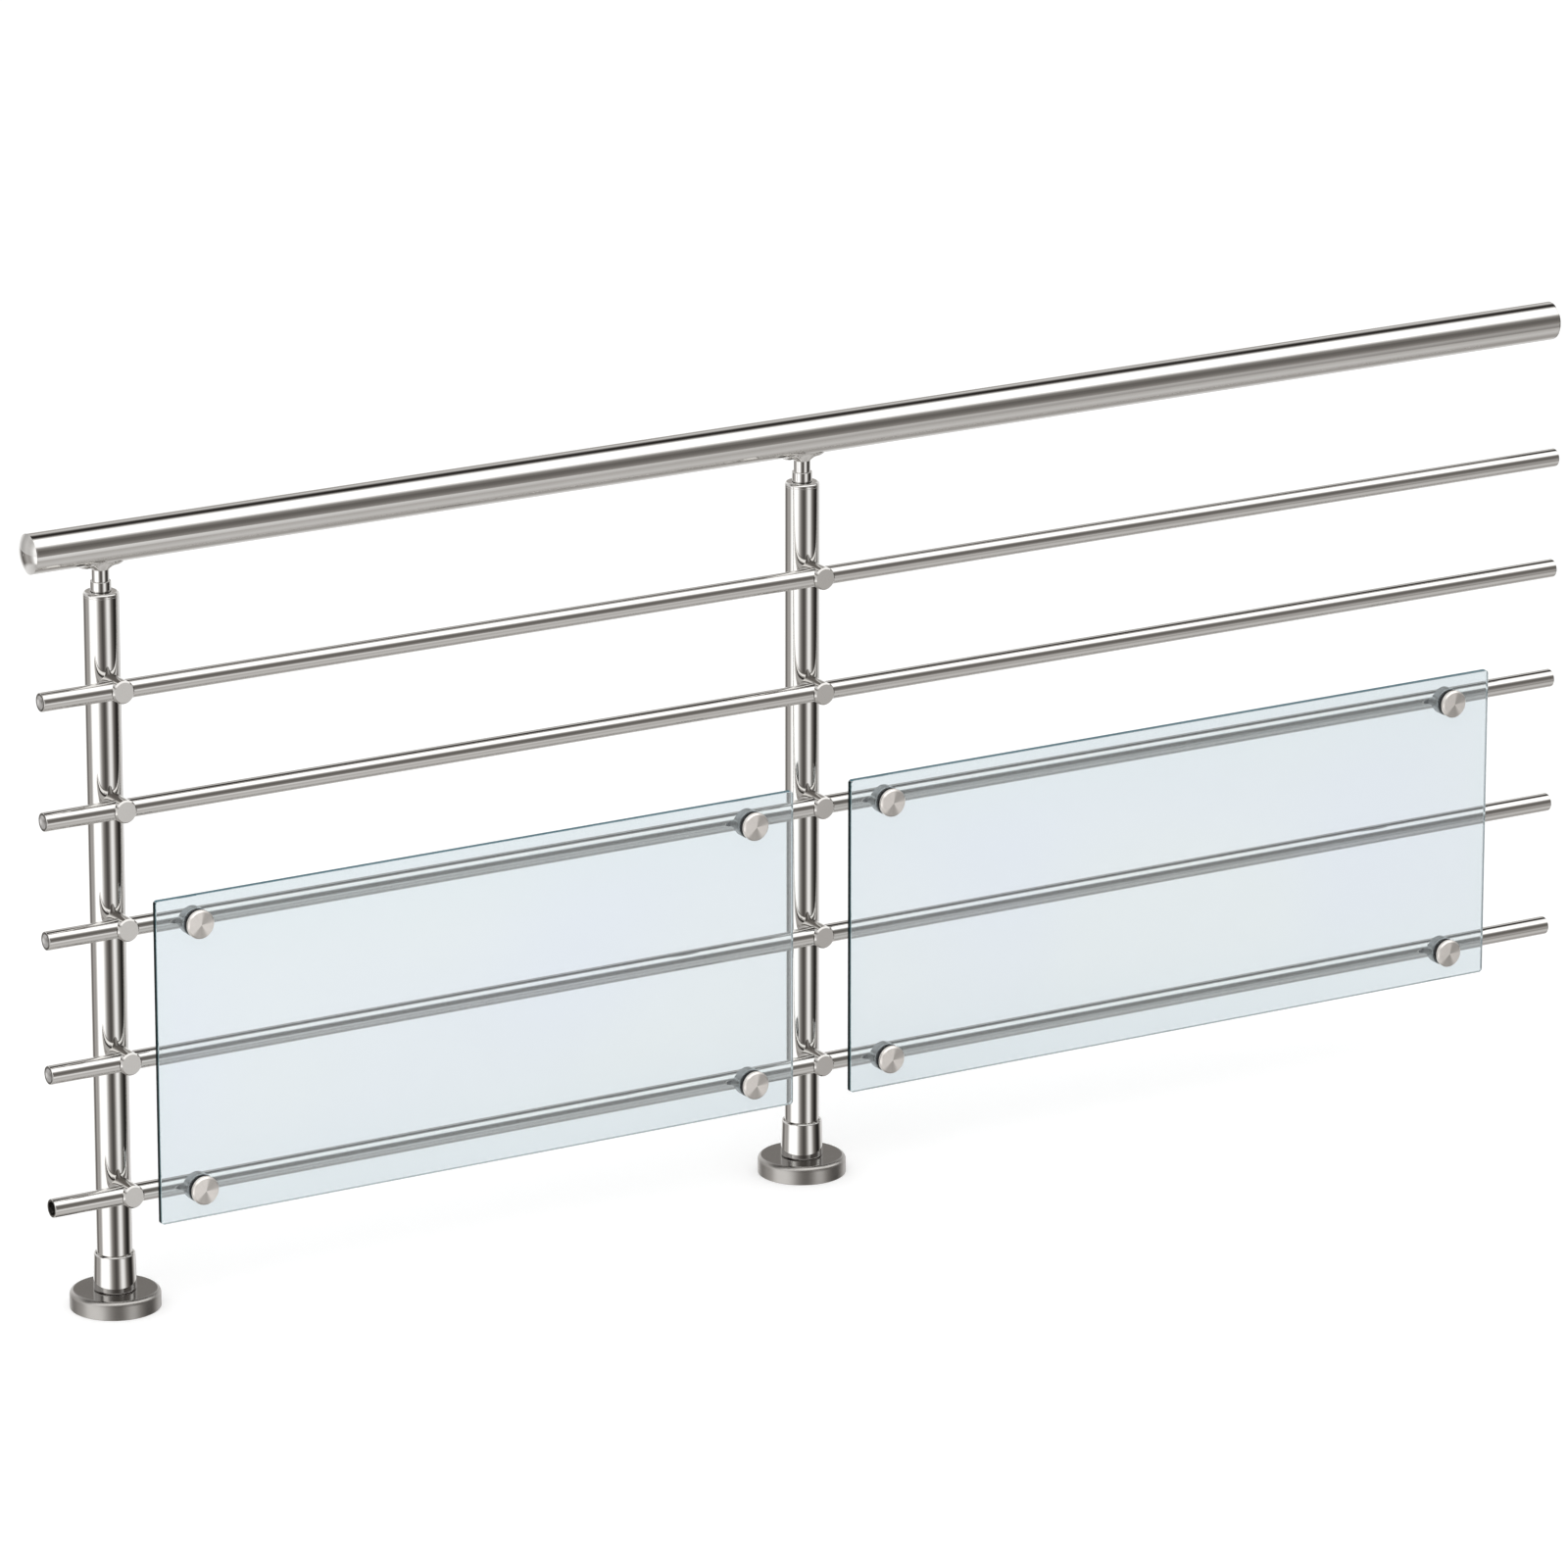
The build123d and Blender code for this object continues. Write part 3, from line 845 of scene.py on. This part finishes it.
@dataclass
class Repeater:
    """A geometry tree that sets copies of a piece on points and ends as one plain mesh."""

    name: str
    inputs: dict[str, str]
    tree: bpy.types.NodeTree = field(init=False)
    bench: Bench = field(init=False)
    ports: bpy.types.Node = field(init=False)
    number: Signal = field(init=False)

    def __post_init__(self) -> None:
        """Makes the tree with its named inputs."""
        self.tree = bpy.data.node_groups.new(self.name, "GeometryNodeTree")
        face = self.tree.interface
        face.new_socket(name="Geometry", in_out="OUTPUT", socket_type="NodeSocketGeometry")
        kinds = {"Piece": "Geometry", **self.inputs, "Finish": "Material", "Inner Finish": "Material"}
        for label, kind in kinds.items():
            face.new_socket(name=label, in_out="INPUT", socket_type="NodeSocket" + kind)
        self.bench = Bench(self.tree)
        self.ports = self.bench.node("NodeGroupInput", {}, {})
        self.number = self.bench.out(self.bench.node("GeometryNodeInputIndex", {}, {}))

    def port(self, label: str) -> Signal:
        """A named input as a value to calculate with."""
        return self.bench.out(self.ports, label)

    def finish_on(self, count: Value, place: dict[int, Value], turn: Optional[Value] = None) -> "Repeater":
        """Adds the copies and the tree's end.

        Args:
            count: How many copies there are.
            place: Where each one goes, as parts of a vector.
            turn: How far each one is turned about Y, in radians.

        Returns:
            This repeater, ready for use.
        """
        node = self.bench.node
        line = node("GeometryNodeMeshLine", {}, {"Count": count, "Offset": (0.0, 0.0, 0.0)})
        spots = node("GeometryNodeSetPosition", {}, {"Geometry": line, "Position": self.bench.joined(place)})
        where = node("GeometryNodeInputPosition", {}, {})
        kept = node(
            "GeometryNodeStoreNamedAttribute", {"data_type": "FLOAT_VECTOR", "domain": "POINT"},
            {"Geometry": self.port("Piece"), "Name": "turned", "Value": where},
        )
        turns = {} if turn is None else {"Rotation": self.bench.joined({1: turn})}
        copies = node("GeometryNodeInstanceOnPoints", {}, {"Points": spots, "Instance": kept, **turns})
        whole = node("GeometryNodeRealizeInstances", {}, {"Geometry": copies})
        outer = node("GeometryNodeSetMaterial", {}, {"Geometry": whole, "Material": self.port("Finish")})
        hollow = node("GeometryNodeInputNamedAttribute", {"data_type": "BOOLEAN"}, {"Name": "hollow"})
        inner = node(
            "GeometryNodeSetMaterial", {},
            {"Geometry": outer, "Selection": hollow, "Material": self.port("Inner Finish")},
        )
        node("NodeGroupOutput", {}, {"Geometry": inner})
        return self

    def spread(
        self, mesh: bpy.types.Mesh, name: str, finish: Finish, nodes: Iterable[str], sizes: dict[str, Any]
    ) -> None:
        """Runs the tree on a piece, and lets the plain result stand for its CAD nodes.

        Args:
            mesh: The piece that is repeated.
            name: The name of the result.
            finish: Its finish. Faces marked hollow get the raw tube wall's, which carries painted shade.
            nodes: The CAD nodes that it replaces.
            sizes: Values for the named inputs.
        """
        mesh.materials.append(finish.material())
        piece = add_piece(mesh, name)
        modifier = piece.modifiers.new(self.name, "NODES")
        modifier.node_group = self.tree
        # Hollow faces take the raw wall with its painted shade.
        inner = RAW_WALL_SHADED if "hollow" in mesh.attributes else finish
        values = {**sizes, "Finish": finish.material(), "Inner Finish": inner.material()}
        for item in self.tree.interface.items_tree:
            if item.in_out == "INPUT" and item.name in values:
                modifier[item.identifier] = values[item.name]
        piece.update_tag()
        plain = plain_mesh(piece)
        piece.modifiers.remove(modifier)
        piece.data = plain
        plain.name = name
        settle(piece, nodes)


def row_repeater() -> Repeater:
    """Copies on the crossbars' rows, whose pitch changes above the panels.

    Returns:
        The tree, with inputs for the rows and their pitches.
    """
    sizes = ("First Row", "Lower Gaps", "Lowest", "Lower Pitch", "Upper Pitch", "Depth")
    made = Repeater("bar_rows", {"Rows": "Int", **dict.fromkeys(sizes, "Float")})
    number, gaps = made.number + made.port("First Row"), made.port("Lower Gaps")
    low = number.smaller(gaps) * made.port("Lower Pitch")
    high = (number - gaps).larger(0.0) * made.port("Upper Pitch")
    return made.finish_on(made.port("Rows"), {1: -made.port("Depth"), 2: made.port("Lowest") + low + high})


def grid_repeater() -> Repeater:
    """Copies on a panel's four fixings, each turned a little by hand.

    Returns:
        The tree, with inputs for the columns, the rows and the turn.
    """
    sizes = ("First Column", "Column Pitch", "Lower Row", "Row Pitch", "Turn")
    made = Repeater("fixing_grid", {**dict.fromkeys(sizes, "Float"), "Seed": "Int"})
    column = made.port("First Column") + made.number.remainder(FIXING_COLUMNS) * made.port("Column Pitch")
    row = made.port("Lower Row") + (made.number / FIXING_COLUMNS).floor() * made.port("Row Pitch")
    limits = {2: -made.port("Turn"), 3: made.port("Turn"), "Seed": made.port("Seed")}
    turn = made.bench.out(made.bench.node("FunctionNodeRandomValue", {"data_type": "FLOAT"}, limits), 1)
    return made.finish_on(FIXINGS, {0: column, 2: row}, turn)


def line_repeater() -> Repeater:
    """Copies in a line along the railing.

    Returns:
        The tree, with inputs for their number and pitch.
    """
    made = Repeater("post_line", {"Posts": "Int", "Pitch": "Float"})
    return made.finish_on(made.port("Posts"), {0: made.number * made.port("Pitch")})


@dataclass(frozen=True)
class Tube:
    """A round tube's wall with eased outer ends. The faces of a raw bore are marked hollow."""

    wall: float
    end_rounding: float
    around: int
    raw_bore: bool = True

    def mesh(self, name: str, radius: float, ends: Pair, axis: Turning) -> bpy.types.Mesh:
        """Builds a tube.

        Args:
            name: The mesh's name.
            radius: Outer radius.
            ends: Where it begins and ends along its axis.
            axis: The axis that it lies on.

        Returns:
            The tube.
        """
        inner, slight = radius - self.wall, self.end_rounding / 3
        corners = [(inner, ends[0]), (radius, ends[0]), (radius, ends[1]), (inner, ends[1])]
        outline = softened(corners, [slight, self.end_rounding, self.end_rounding, slight])
        made = turned_mesh(name, outline, axis, self.around)
        if self.raw_bore:
            wide, side, _ = axis.value
            inside = radius - self.wall / 2
            centres = [face.center for face in made.polygons]
            marks = made.attributes.new("hollow", "BOOLEAN", "FACE")
            marks.data.foreach_set("value", [math.hypot(at[wide], at[side]) < inside for at in centres])
        return made


@dataclass(frozen=True)
class Saddle:
    """The plate that carries the handrail: thin at its tips, and swelling smoothly into the stem."""

    rail_radius: float
    rail_height: float
    bottom: float
    flat_half: float = 0.0155
    half_width: float = 0.0135
    thickness: float = 0.0035
    rim: float = 0.0005
    ease: float = 0.007
    boss_radius: float = 0.01025
    flare: float = 0.009
    flare_power: float = 2.4
    head_offset: float = 0.018
    head_radius: float = 0.0041
    head_height: float = 0.0017
    drill_radius: float = 0.0025
    drill_slack: float = 0.002
    rings: int = 18
    boss_rings: Pair = (-0.7, -0.35)
    around: int = 96
    drill_around: int = 32

    def mesh(self) -> bpy.types.Mesh:
        """Builds the plate round the post's axis.

        Returns:
            The plate with its two countersunk holes.
        """
        shares = [step / self.rings for step in range(self.rings + 1)]
        top = self.rail_height - self.rail_radius
        under = [self._ring(share, True) for share in shares]
        over = [self._ring(share, False) for share in reversed([*self.boss_rings, *shares])]
        rows = [[(0.0, 0.0, self.bottom)], *under, *over, [(0.0, 0.0, top)]]
        return self._drilled(skinned_mesh("saddle", rows), top)

    def _ring(self, share: float, low: bool) -> list[Sequence[float]]:
        """One ring of the plate.

        Args:
            share: Where it is, from the boss at 0 to the rim at 1. A negative share is inside the boss.
            low: Whether it is on the underside.

        Returns:
            The ring's points.
        """
        row = []
        for step in range(self.around):
            turn = 2 * math.pi * step / self.around
            edge = self._reach(turn)
            reach = min(1.0, 1.0 + share) * self.boss_radius + max(0.0, share) * (edge - self.boss_radius)
            across, side = reach * math.cos(turn), reach * math.sin(turn)
            seat = self.rail_height - math.sqrt(self.rail_radius**2 - side**2)
            row.append((across, side, self._under(seat, reach, edge) if low else seat))
        return row

    def _reach(self, turn: float) -> float:
        """How far the plate's rim is from the post's axis, seen from above.

        Args:
            turn: Which way round the axis, in radians.

        Returns:
            The distance.
        """
        cosine, sine = abs(math.cos(turn)), abs(math.sin(turn))
        if self.half_width * cosine <= self.flat_half * sine:
            return self.half_width / sine
        return self.flat_half * cosine + math.sqrt(self.half_width**2 - (self.flat_half * sine) ** 2)

    def _under(self, seat: float, reach: float, edge: float) -> float:
        """Height of the plate's underside.

        Args:
            seat: Height of the handrail's surface over it.
            reach: How far it is from the post's axis.
            edge: How far the rim is there.

        Returns:
            The height.
        """
        rise = math.sin(math.pi / 2 * min(1.0, (edge - reach) / self.ease))
        plate = seat - self.rim - (self.thickness - self.rim) * rise
        span = min(self.flare, edge - self.boss_radius)
        share = max(0.0, 1.0 - (reach - self.boss_radius) / span) ** self.flare_power
        return plate + (self.bottom - plate) * share

    def _drilled(self, mesh: bpy.types.Mesh, top: float) -> bpy.types.Mesh:
        """Cuts the two countersunk screw holes.

        Args:
            mesh: The plate.
            top: Height of the plate's lowest line on the handrail.

        Returns:
            The plate with its holes.
        """
        face = top - self.thickness
        start, end = face - 2 * self.drill_slack, top + self.drill_slack
        head = [(self.head_radius, start), (self.head_radius, face)]
        shank = [(self.drill_radius, face + self.head_height), (self.drill_radius, end)]
        pieces = [add_piece(mesh, "saddle_blank")]
        for side in (-1.0, 1.0):
            outline = [(0.0, start), *head, *shank, (0.0, end)]
            tool = turned_mesh("saddle_drill", outline, Turning.UPRIGHT, self.drill_around)
            for vertex in tool.vertices:
                vertex.co.x += side * self.head_offset
            pieces.append(add_piece(tool, "saddle_drill"))
            cut = pieces[0].modifiers.new("hole", "BOOLEAN")
            cut.operation, cut.solver, cut.object = "DIFFERENCE", "EXACT", pieces[-1]
        made = plain_mesh(pieces[0])
        for piece in pieces:
            bpy.data.objects.remove(piece)
        shade(made)
        return made


@dataclass
class Handrail:
    """The round handrail with its domed caps, saddle plates and screws."""

    tube: Tube = Tube(wall=0.002, end_rounding=0.0005, around=128, raw_bore=False)

    def build(self, line: Repeater) -> None:
        """Builds the tube and the saddles finely and dresses the rest.

        Args:
            line: The tree that sets pieces along the railing.
        """
        low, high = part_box("handrail_tube")
        radius, height = (high.z - low.z) / 2, (low.z + high.z) / 2
        mesh = self.tube.mesh("handrail", radius, (low.x, high.x), Turning.ALONG_X)
        for vertex in mesh.vertices:
            vertex.co.z += height
        mesh.materials.append(POLISHED_X.material())
        settle(add_piece(mesh, "handrail"), ["handrail_tube"])
        dress(POLISHED_X, ["handrail_cap_left", "handrail_cap_right"])
        plates = ["left_saddle_plate", "middle_saddle_plate"]
        start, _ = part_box(plates[0])
        pitch = node_middle(plates[1]).x - node_middle(plates[0]).x
        saddle = Saddle(radius, height, start.z).mesh()
        line.spread(saddle, "saddles", POLISHED_X, plates, {"Posts": len(plates), "Pitch": pitch})
        dress(FASTENER, ["saddle_screws"])


@dataclass
class Posts:
    """The two posts, from floor flange to stem."""

    tube: Tube = Tube(wall=0.002, end_rounding=0.0004, around=96)
    turned: tuple[str, ...] = ("post_cap", "stem_collar", "saddle_stem", "foot_collar")

    def build(self, line: Repeater) -> None:
        """Builds the tubes finely and dresses the turned pieces on them.

        Args:
            line: The tree that sets pieces along the railing.
        """
        tubes = ["left_post_tube", "middle_post_tube"]
        low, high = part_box(tubes[0])
        mesh = self.tube.mesh("post_tube", (high.x - low.x) / 2, (low.z, high.z), Turning.UPRIGHT)
        pitch = node_middle(tubes[1]).x - node_middle(tubes[0]).x
        line.spread(mesh, "post_tubes", POLISHED_Z, tubes, {"Posts": len(tubes), "Pitch": pitch})
        for side in ("left", "middle"):
            dress(POLISHED_Z, [f"{side}_{piece}" for piece in self.turned])
            dress(SATIN, [f"{side}_cover_rosette"])
            dress(PLATE, [f"{side}_floor_flange"])
        dress(FASTENER, ["foot_collar_screws"])


@dataclass
class Crossbars:
    """Five crossbars with their plugs, and the holders that carry them."""

    tube: Tube = Tube(wall=0.003, end_rounding=0.001, around=72)
    plug_length: float = 0.014
    plug_wall: float = 0.002
    dish_depth: float = 0.0022
    dish_rim: float = 0.0008
    dish_steps: int = 8
    lower_gaps: float = 2.0

    def build(self, rows: Repeater) -> None:
        """Builds bars and plugs from the rows' rule and dresses the holders.

        Args:
            rows: The tree that sets pieces on the bars' rows.
        """
        bars = [f"crossbar_{number}" for number in range(1, 6)]
        low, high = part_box(bars[-1])
        radius = (high.z - low.z) / 2
        top, second, *_, above, lowest = (node_middle(bar) for bar in bars)
        sizes = {
            "Rows": len(bars),
            "First Row": 0.0,
            "Lower Gaps": self.lower_gaps,
            "Lowest": lowest.z,
            "Lower Pitch": above.z - lowest.z,
            "Upper Pitch": top.z - second.z,
            "Depth": -lowest.y,
        }
        mesh = self.tube.mesh("crossbar", radius, (low.x, high.x), Turning.ALONG_X)
        rows.spread(mesh, "crossbars", POLISHED_X, bars, sizes)
        closed_rows = {**sizes, "Rows": len(bars) - 1, "First Row": 1.0}
        for side, end, inward, chosen in (("left", low.x, 1.0, closed_rows), ("right", high.x, -1.0, sizes)):
            outline = self._plug(radius, end, inward)
            plug = turned_mesh(f"plug_{side}", outline, Turning.ALONG_X, self.tube.around)
            rows.spread(plug, f"bar_plugs_{side}", SATIN_PLUG, [f"crossbar_plugs_{side}"], chosen)
        for side in ("left", "middle"):
            dress(POLISHED_Y_SHADED, [f"{side}_holder_{number}" for number in range(1, 6)])
        dress(FASTENER, ["holder_screws", "holder_grub_screws"])

    def _plug(self, radius: float, end: float, inward: float) -> Profile:
        """Outline of a plug: a cup whose closed face is dished.

        Args:
            radius: The bar's outer radius.
            end: Where the bar ends, along X.
            inward: 1 if the bar runs to the right from there, -1 if it runs to the left.

        Returns:
            The closed outline.
        """
        bore = radius - self.tube.wall
        rim, cup = bore - self.dish_rim, bore - self.plug_wall
        ball = (rim**2 + self.dish_depth**2) / (2 * self.dish_depth)
        reaches = [rim * step / self.dish_steps for step in range(self.dish_steps + 1)]
        dish = [(reach, self.dish_depth - ball + math.sqrt(ball**2 - reach**2)) for reach in reaches]
        floor = self.dish_depth + self.plug_wall
        side = [(bore, 0.0), (bore, self.plug_length), (cup, self.plug_length), (cup, floor), (0.0, floor)]
        return [(reach, end + inward * depth) for reach, depth in dish + side]


@dataclass
class PanelFixings:
    """The eight round fixings: caps, gaskets, bushes, spacers and studs."""

    bevel: float = 0.002
    edge_rounding: float = 0.00035
    socket_radius: float = 0.004
    socket_depth: float = 0.0035
    gasket_bulge: float = 0.0005
    gasket_bore: float = 0.0042
    largest_bulge: float = 0.45
    turn: float = 0.05
    seed: int = 7
    around: int = 96

    def build(self, grid: Repeater) -> None:
        """Builds the shown pieces finely and dresses the hidden ones.

        Args:
            grid: The tree that sets pieces on a panel's fixings.
        """
        for side in ("left", "right"):
            low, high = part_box(f"{side}_panel_caps")
            # The lower fixings are level with the lowest bar's axis, one radius over the caps' lowest point.
            radius = node_middle("crossbar_5").z - low.z
            sizes = {
                "First Column": low.x + radius,
                "Column Pitch": high.x - low.x - 2 * radius,
                "Lower Row": low.z + radius,
                "Row Pitch": high.z - low.z - 2 * radius,
                "Turn": self.turn,
                "Seed": self.seed,
            }
            cap = turned_mesh("cap", self._cap(radius, high.y, low.y), Turning.TO_FRONT, self.around)
            grid.spread(cap, f"{side}_fixing_caps", SPUN, [f"{side}_panel_caps"], sizes)
            for place in ("front", "rear"):
                node = f"panel_{place}_gaskets"
                start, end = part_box(node)
                outline = self._gasket(radius + low.z - start.z, end.y, start.y)
                ring = turned_mesh("gasket", outline, Turning.TO_FRONT, self.around)
                grid.spread(ring, f"{side}_{place}_gaskets", RUBBER, [node], sizes)
        dress(TURNED_SIDE_SHADED, ["left_panel_spacers", "right_panel_spacers"])
        dress(NYLON, ["panel_bushes"])
        dress(FASTENER, ["panel_studs"])

    def _cap(self, radius: float, back: float, front: float) -> Profile:
        """Outline of a front cap with a bevelled rim and a blind hole at its back.

        Args:
            radius: Its outer radius.
            back: Y of its back face.
            front: Y of its front face.

        Returns:
            The closed outline, as radius and Y.
        """
        blind, ease = back - self.socket_depth, self.edge_rounding
        corners = [
            (0.0, blind), (self.socket_radius, blind), (self.socket_radius, back), (radius, back),
            (radius, front + self.bevel), (radius - self.bevel, front), (0.0, front),
        ]
        return softened(corners, [0, 0, 0, ease, ease, ease, 0])

    def _gasket(self, radius: float, back: float, front: float) -> Profile:
        """Outline of a gasket whose rim bulges a little.

        Args:
            radius: Its outer radius.
            back: Y of its back face.
            front: Y of its front face.

        Returns:
            The closed outline, as radius and Y.
        """
        corners = [(self.gasket_bore, back), (radius, back), (radius, front), (self.gasket_bore, front)]
        ease = min(self.gasket_bulge, (back - front) * self.largest_bulge)
        return softened(corners, [0, ease, ease, 0])


@dataclass
class Panels:
    """The two clear panels."""

    sides: tuple[str, ...] = ("left", "right")

    def build(self) -> None:
        """Dresses each sheet with its edges tinted from its own middle."""
        for side in self.sides:
            low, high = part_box(f"{side}_panel")
            middle, half = (low + high) / 2, (high - low) / 2
            finish = ClearSheet(
                f"{side}_sheet_finish", "clear_panel",
                middle=(middle.x, middle.z), halves=(half.x, half.z), front=low.y,
            )
            dress(finish, [f"{side}_panel"])


@dataclass
class Studio:
    """Camera, white floor, soft light, and the light panels and dark flags that the steel mirrors.

    The mirrored bands are pairs of an angle in degrees and a level of light. One row goes over the railing,
    for pieces that lie along it, and one goes round it, for upright pieces. The second takes over between
    the heights in steep_limits, and in part between those in level_limits, except along the railing.
    Over both lies a grey card behind the railing, in the direction card_way.
    """

    azimuth: float = 30.806
    elevation: float = 16.937
    distance: float = 12.0514
    target: tuple[float, float, float] = (0.9247, 0.0, 0.5037)
    focal_pixels: float = 10085.9
    frame_pixels: float = 1600.0
    sensor: float = 36.0
    clip: Pair = (0.1, 200.0)
    plain_level: float = 0.86
    peak: float = 1.6
    warm_under: float = 0.9
    warmth: Pair = (0.08, 0.15)
    floor_tone: float = 0.80
    floor_lift: float = 1.02
    floor_grain: Pattern = Pattern(3.0, 2.0)
    floor_glow: float = 0.36
    floor_reach: float = 40.0
    lamp_side: float = 3.5
    lamp_power: float = 60.0
    lamp_place: tuple[float, float, float] = (-2.2, -3.4, 4.6)
    card_way: tuple[float, float, float] = (0.45, 0.84, 0.31)
    card_edges: Pair = (0.975, 0.994)
    card_tone: Colour = (0.45, 0.43, 0.41)
    rail_way: float = 0.485
    rail_limits: Pair = (0.12, 0.25)
    steep_limits: tuple[Pair, Pair] = ((-0.52, -0.42), (-0.21, -0.16))
    level_limits: tuple[Pair, Pair] = ((-0.22, -0.16), (0.25, 0.45))
    level_share: float = 0.6
    mirrored_over: tuple[Pair, ...] = (
        (-180, 0.45), (-165, 0.45), (-145, 0.75), (-110, 1.05), (-85, 1.15), (-60, 0.90), (-45, 0.60),
        (-36, 0.13), (-30, 0.03), (-18, 0.03), (-12, 0.25), (-6, 0.80), (0, 1.60), (40, 1.60), (47, 0.78),
        (55, 0.30), (70, 0.16), (84, 0.20), (96, 0.32), (108, 0.54), (125, 0.56), (150, 0.72), (165, 0.58),
        (175, 0.45), (180, 0.45),
    )
    mirrored_round: tuple[Pair, ...] = (
        (-180, 1.05), (-169, 0.55), (-158, 0.14), (-147, 0.28), (-135, 0.50), (-120, 0.45), (-110, 0.75),
        (-102, 1.50), (-60, 1.55), (-50, 0.85), (-42, 0.45), (-34, 0.24), (-20, 0.09), (-8, 0.16), (3, 0.60),
        (12, 1.15), (23, 1.10), (31, 0.66), (40, 0.24), (50, 0.12), (60, 0.04), (74, 0.02), (82, 0.08),
        (92, 0.36), (105, 0.75), (122, 1.00), (134, 0.50), (145, 0.22), (155, 0.70), (163, 1.25), (180, 1.05),
    )

    def build(self) -> None:
        """Builds the studio round the railing."""
        bpy.context.scene.view_settings.view_transform = "Standard"
        self._camera()
        self._world()
        self._floor()
        self._lamp()

    def _camera(self) -> None:
        """Sets the camera at the photograph's viewing angle."""
        side, tilt = math.radians(self.azimuth), math.radians(self.elevation)
        back = Vector((-math.sin(side) * math.cos(tilt), -math.cos(side) * math.cos(tilt), math.sin(tilt)))
        data = bpy.data.cameras.new("camera")
        data.sensor_width = self.sensor
        data.lens = self.focal_pixels / self.frame_pixels * self.sensor
        data.clip_start, data.clip_end = self.clip
        camera = add_piece(data, "camera")
        self._aim(camera, Vector(self.target) + back * self.distance)
        bpy.context.scene.camera = camera

    def _aim(self, thing: bpy.types.Object, place: Vector) -> None:
        """Points a camera or a lamp at the railing.

        Args:
            thing: The camera or lamp.
            place: Where it stands.
        """
        thing.location = place
        thing.rotation_mode = "QUATERNION"
        thing.rotation_quaternion = (Vector(self.target) - place).to_track_quat("-Z", "Y")

    def _bands(self, bench: Bench, bands: tuple[Pair, ...], sine: Signal, cosine: Signal) -> bpy.types.Node:
        """A row of bands round the railing, warmer where they are darker.

        Args:
            bench: The world's tree.
            bands: Angle and level of each band.
            sine: What the sine of the way's angle goes with.
            cosine: What its cosine goes with.

        Returns:
            The bands' colour, from 0 to 1 at the peak level.
        """
        stops = []
        for angle, level in bands:
            dimness, share = max(0.0, 1.0 - level / self.warm_under), level / self.peak
            tone = (share, *(share * (1 - fade * dimness) for fade in self.warmth))
            stops.append(((angle + FULL_TURN / 2) / FULL_TURN, tone))
        turn = sine.angle_to(cosine) / (2 * math.pi) + 0.5
        return bench.node("ShaderNodeValToRGB", {"stops": stops}, {0: turn})

    def _world(self) -> None:
        """Makes the world: white to the camera and through the sheets, plain on matt, banded in steel."""
        world = bpy.data.worlds.new("studio")
        world.use_nodes = True
        bpy.context.scene.world = world
        bench = Bench(world.node_tree)
        way = bench.node("ShaderNodeTexCoord", {}, {}).outputs["Generated"]
        across, depth, up = bench.split(way)
        over = self._bands(bench, self.mirrored_over, -depth, up)
        around = self._bands(bench, self.mirrored_round, across, -depth)
        aside = abs(across - self.rail_way).rise(*self.rail_limits)
        level = up.between(*self.level_limits) * aside * self.level_share
        banded = bench.mixed(up.between(*self.steep_limits).larger(level), over, around)
        facing = bench.node("ShaderNodeVectorMath", {"operation": "DOT_PRODUCT"}, {0: way, 1: self.card_way})
        card = bench.out(facing, "Value").rise(*self.card_edges)
        banded = bench.mixed(card, banded, tuple(tone / self.peak for tone in self.card_tone))
        studio, plain, white = (
            bench.node("ShaderNodeBackground", {}, {"Color": colour, "Strength": strength})
            for colour, strength in ((banded, self.peak), (WHITE, self.plain_level), (WHITE, 1.0))
        )
        seen = bench.ray("Camera").larger(bench.ray("Transmission"))
        lit = bench.either(bench.ray("Glossy"), plain, studio)
        bench.node("ShaderNodeOutputWorld", {}, {"Surface": bench.either(seen, lit, white)})

    def _floor(self) -> None:
        """Lays the white floor, which keeps the railing's shadow."""
        half = self.floor_reach / 2
        mesh = bpy.data.meshes.new("floor")
        corners = [(-half, -half, 0), (half, -half, 0), (half, half, 0), (-half, half, 0)]
        mesh.from_pydata(corners, [], [(0, 1, 2, 3)])
        material = bpy.data.materials.new("white_floor")
        material.use_nodes = True
        bench = Bench(material.node_tree)
        low, high = ((self.floor_tone * lift,) * len(WHITE) for lift in (1.0, self.floor_lift))
        tone = bench.mixed(self.floor_grain.on(bench), low, high)
        matt = bench.node("ShaderNodeBsdfDiffuse", {}, {"Color": tone})
        seen = bench.ray("Camera").larger(bench.ray("Transmission")).larger(bench.ray("Glossy"))
        glow = bench.node("ShaderNodeEmission", {}, {"Color": WHITE, "Strength": seen * self.floor_glow})
        both = bench.node("ShaderNodeAddShader", {}, {0: matt, 1: glow})
        bench.node("ShaderNodeOutputMaterial", {}, {"Surface": both})
        mesh.materials.append(material)
        floor = add_piece(mesh, "floor")
        floor.visible_glossy = False

    def _lamp(self) -> None:
        """Hangs one wide soft lamp at the upper left."""
        data = bpy.data.lights.new("soft_lamp", "AREA")
        data.shape = "SQUARE"
        data.size = self.lamp_side
        data.energy = self.lamp_power
        lamp = add_piece(data, "soft_lamp")
        self._aim(lamp, Vector(self.lamp_place))
        lamp.visible_camera = False
        lamp.visible_glossy = False


def main() -> None:
    """Builds the studio and each assembly in turn."""
    logging.basicConfig(level=logging.INFO, format="%(name)s %(message)s")
    Studio().build()
    line = line_repeater()
    Handrail().build(line)
    Posts().build(line)
    Crossbars().build(row_repeater())
    PanelFixings().build(grid_repeater())
    Panels().build()


if __name__ == "__main__":
    main()
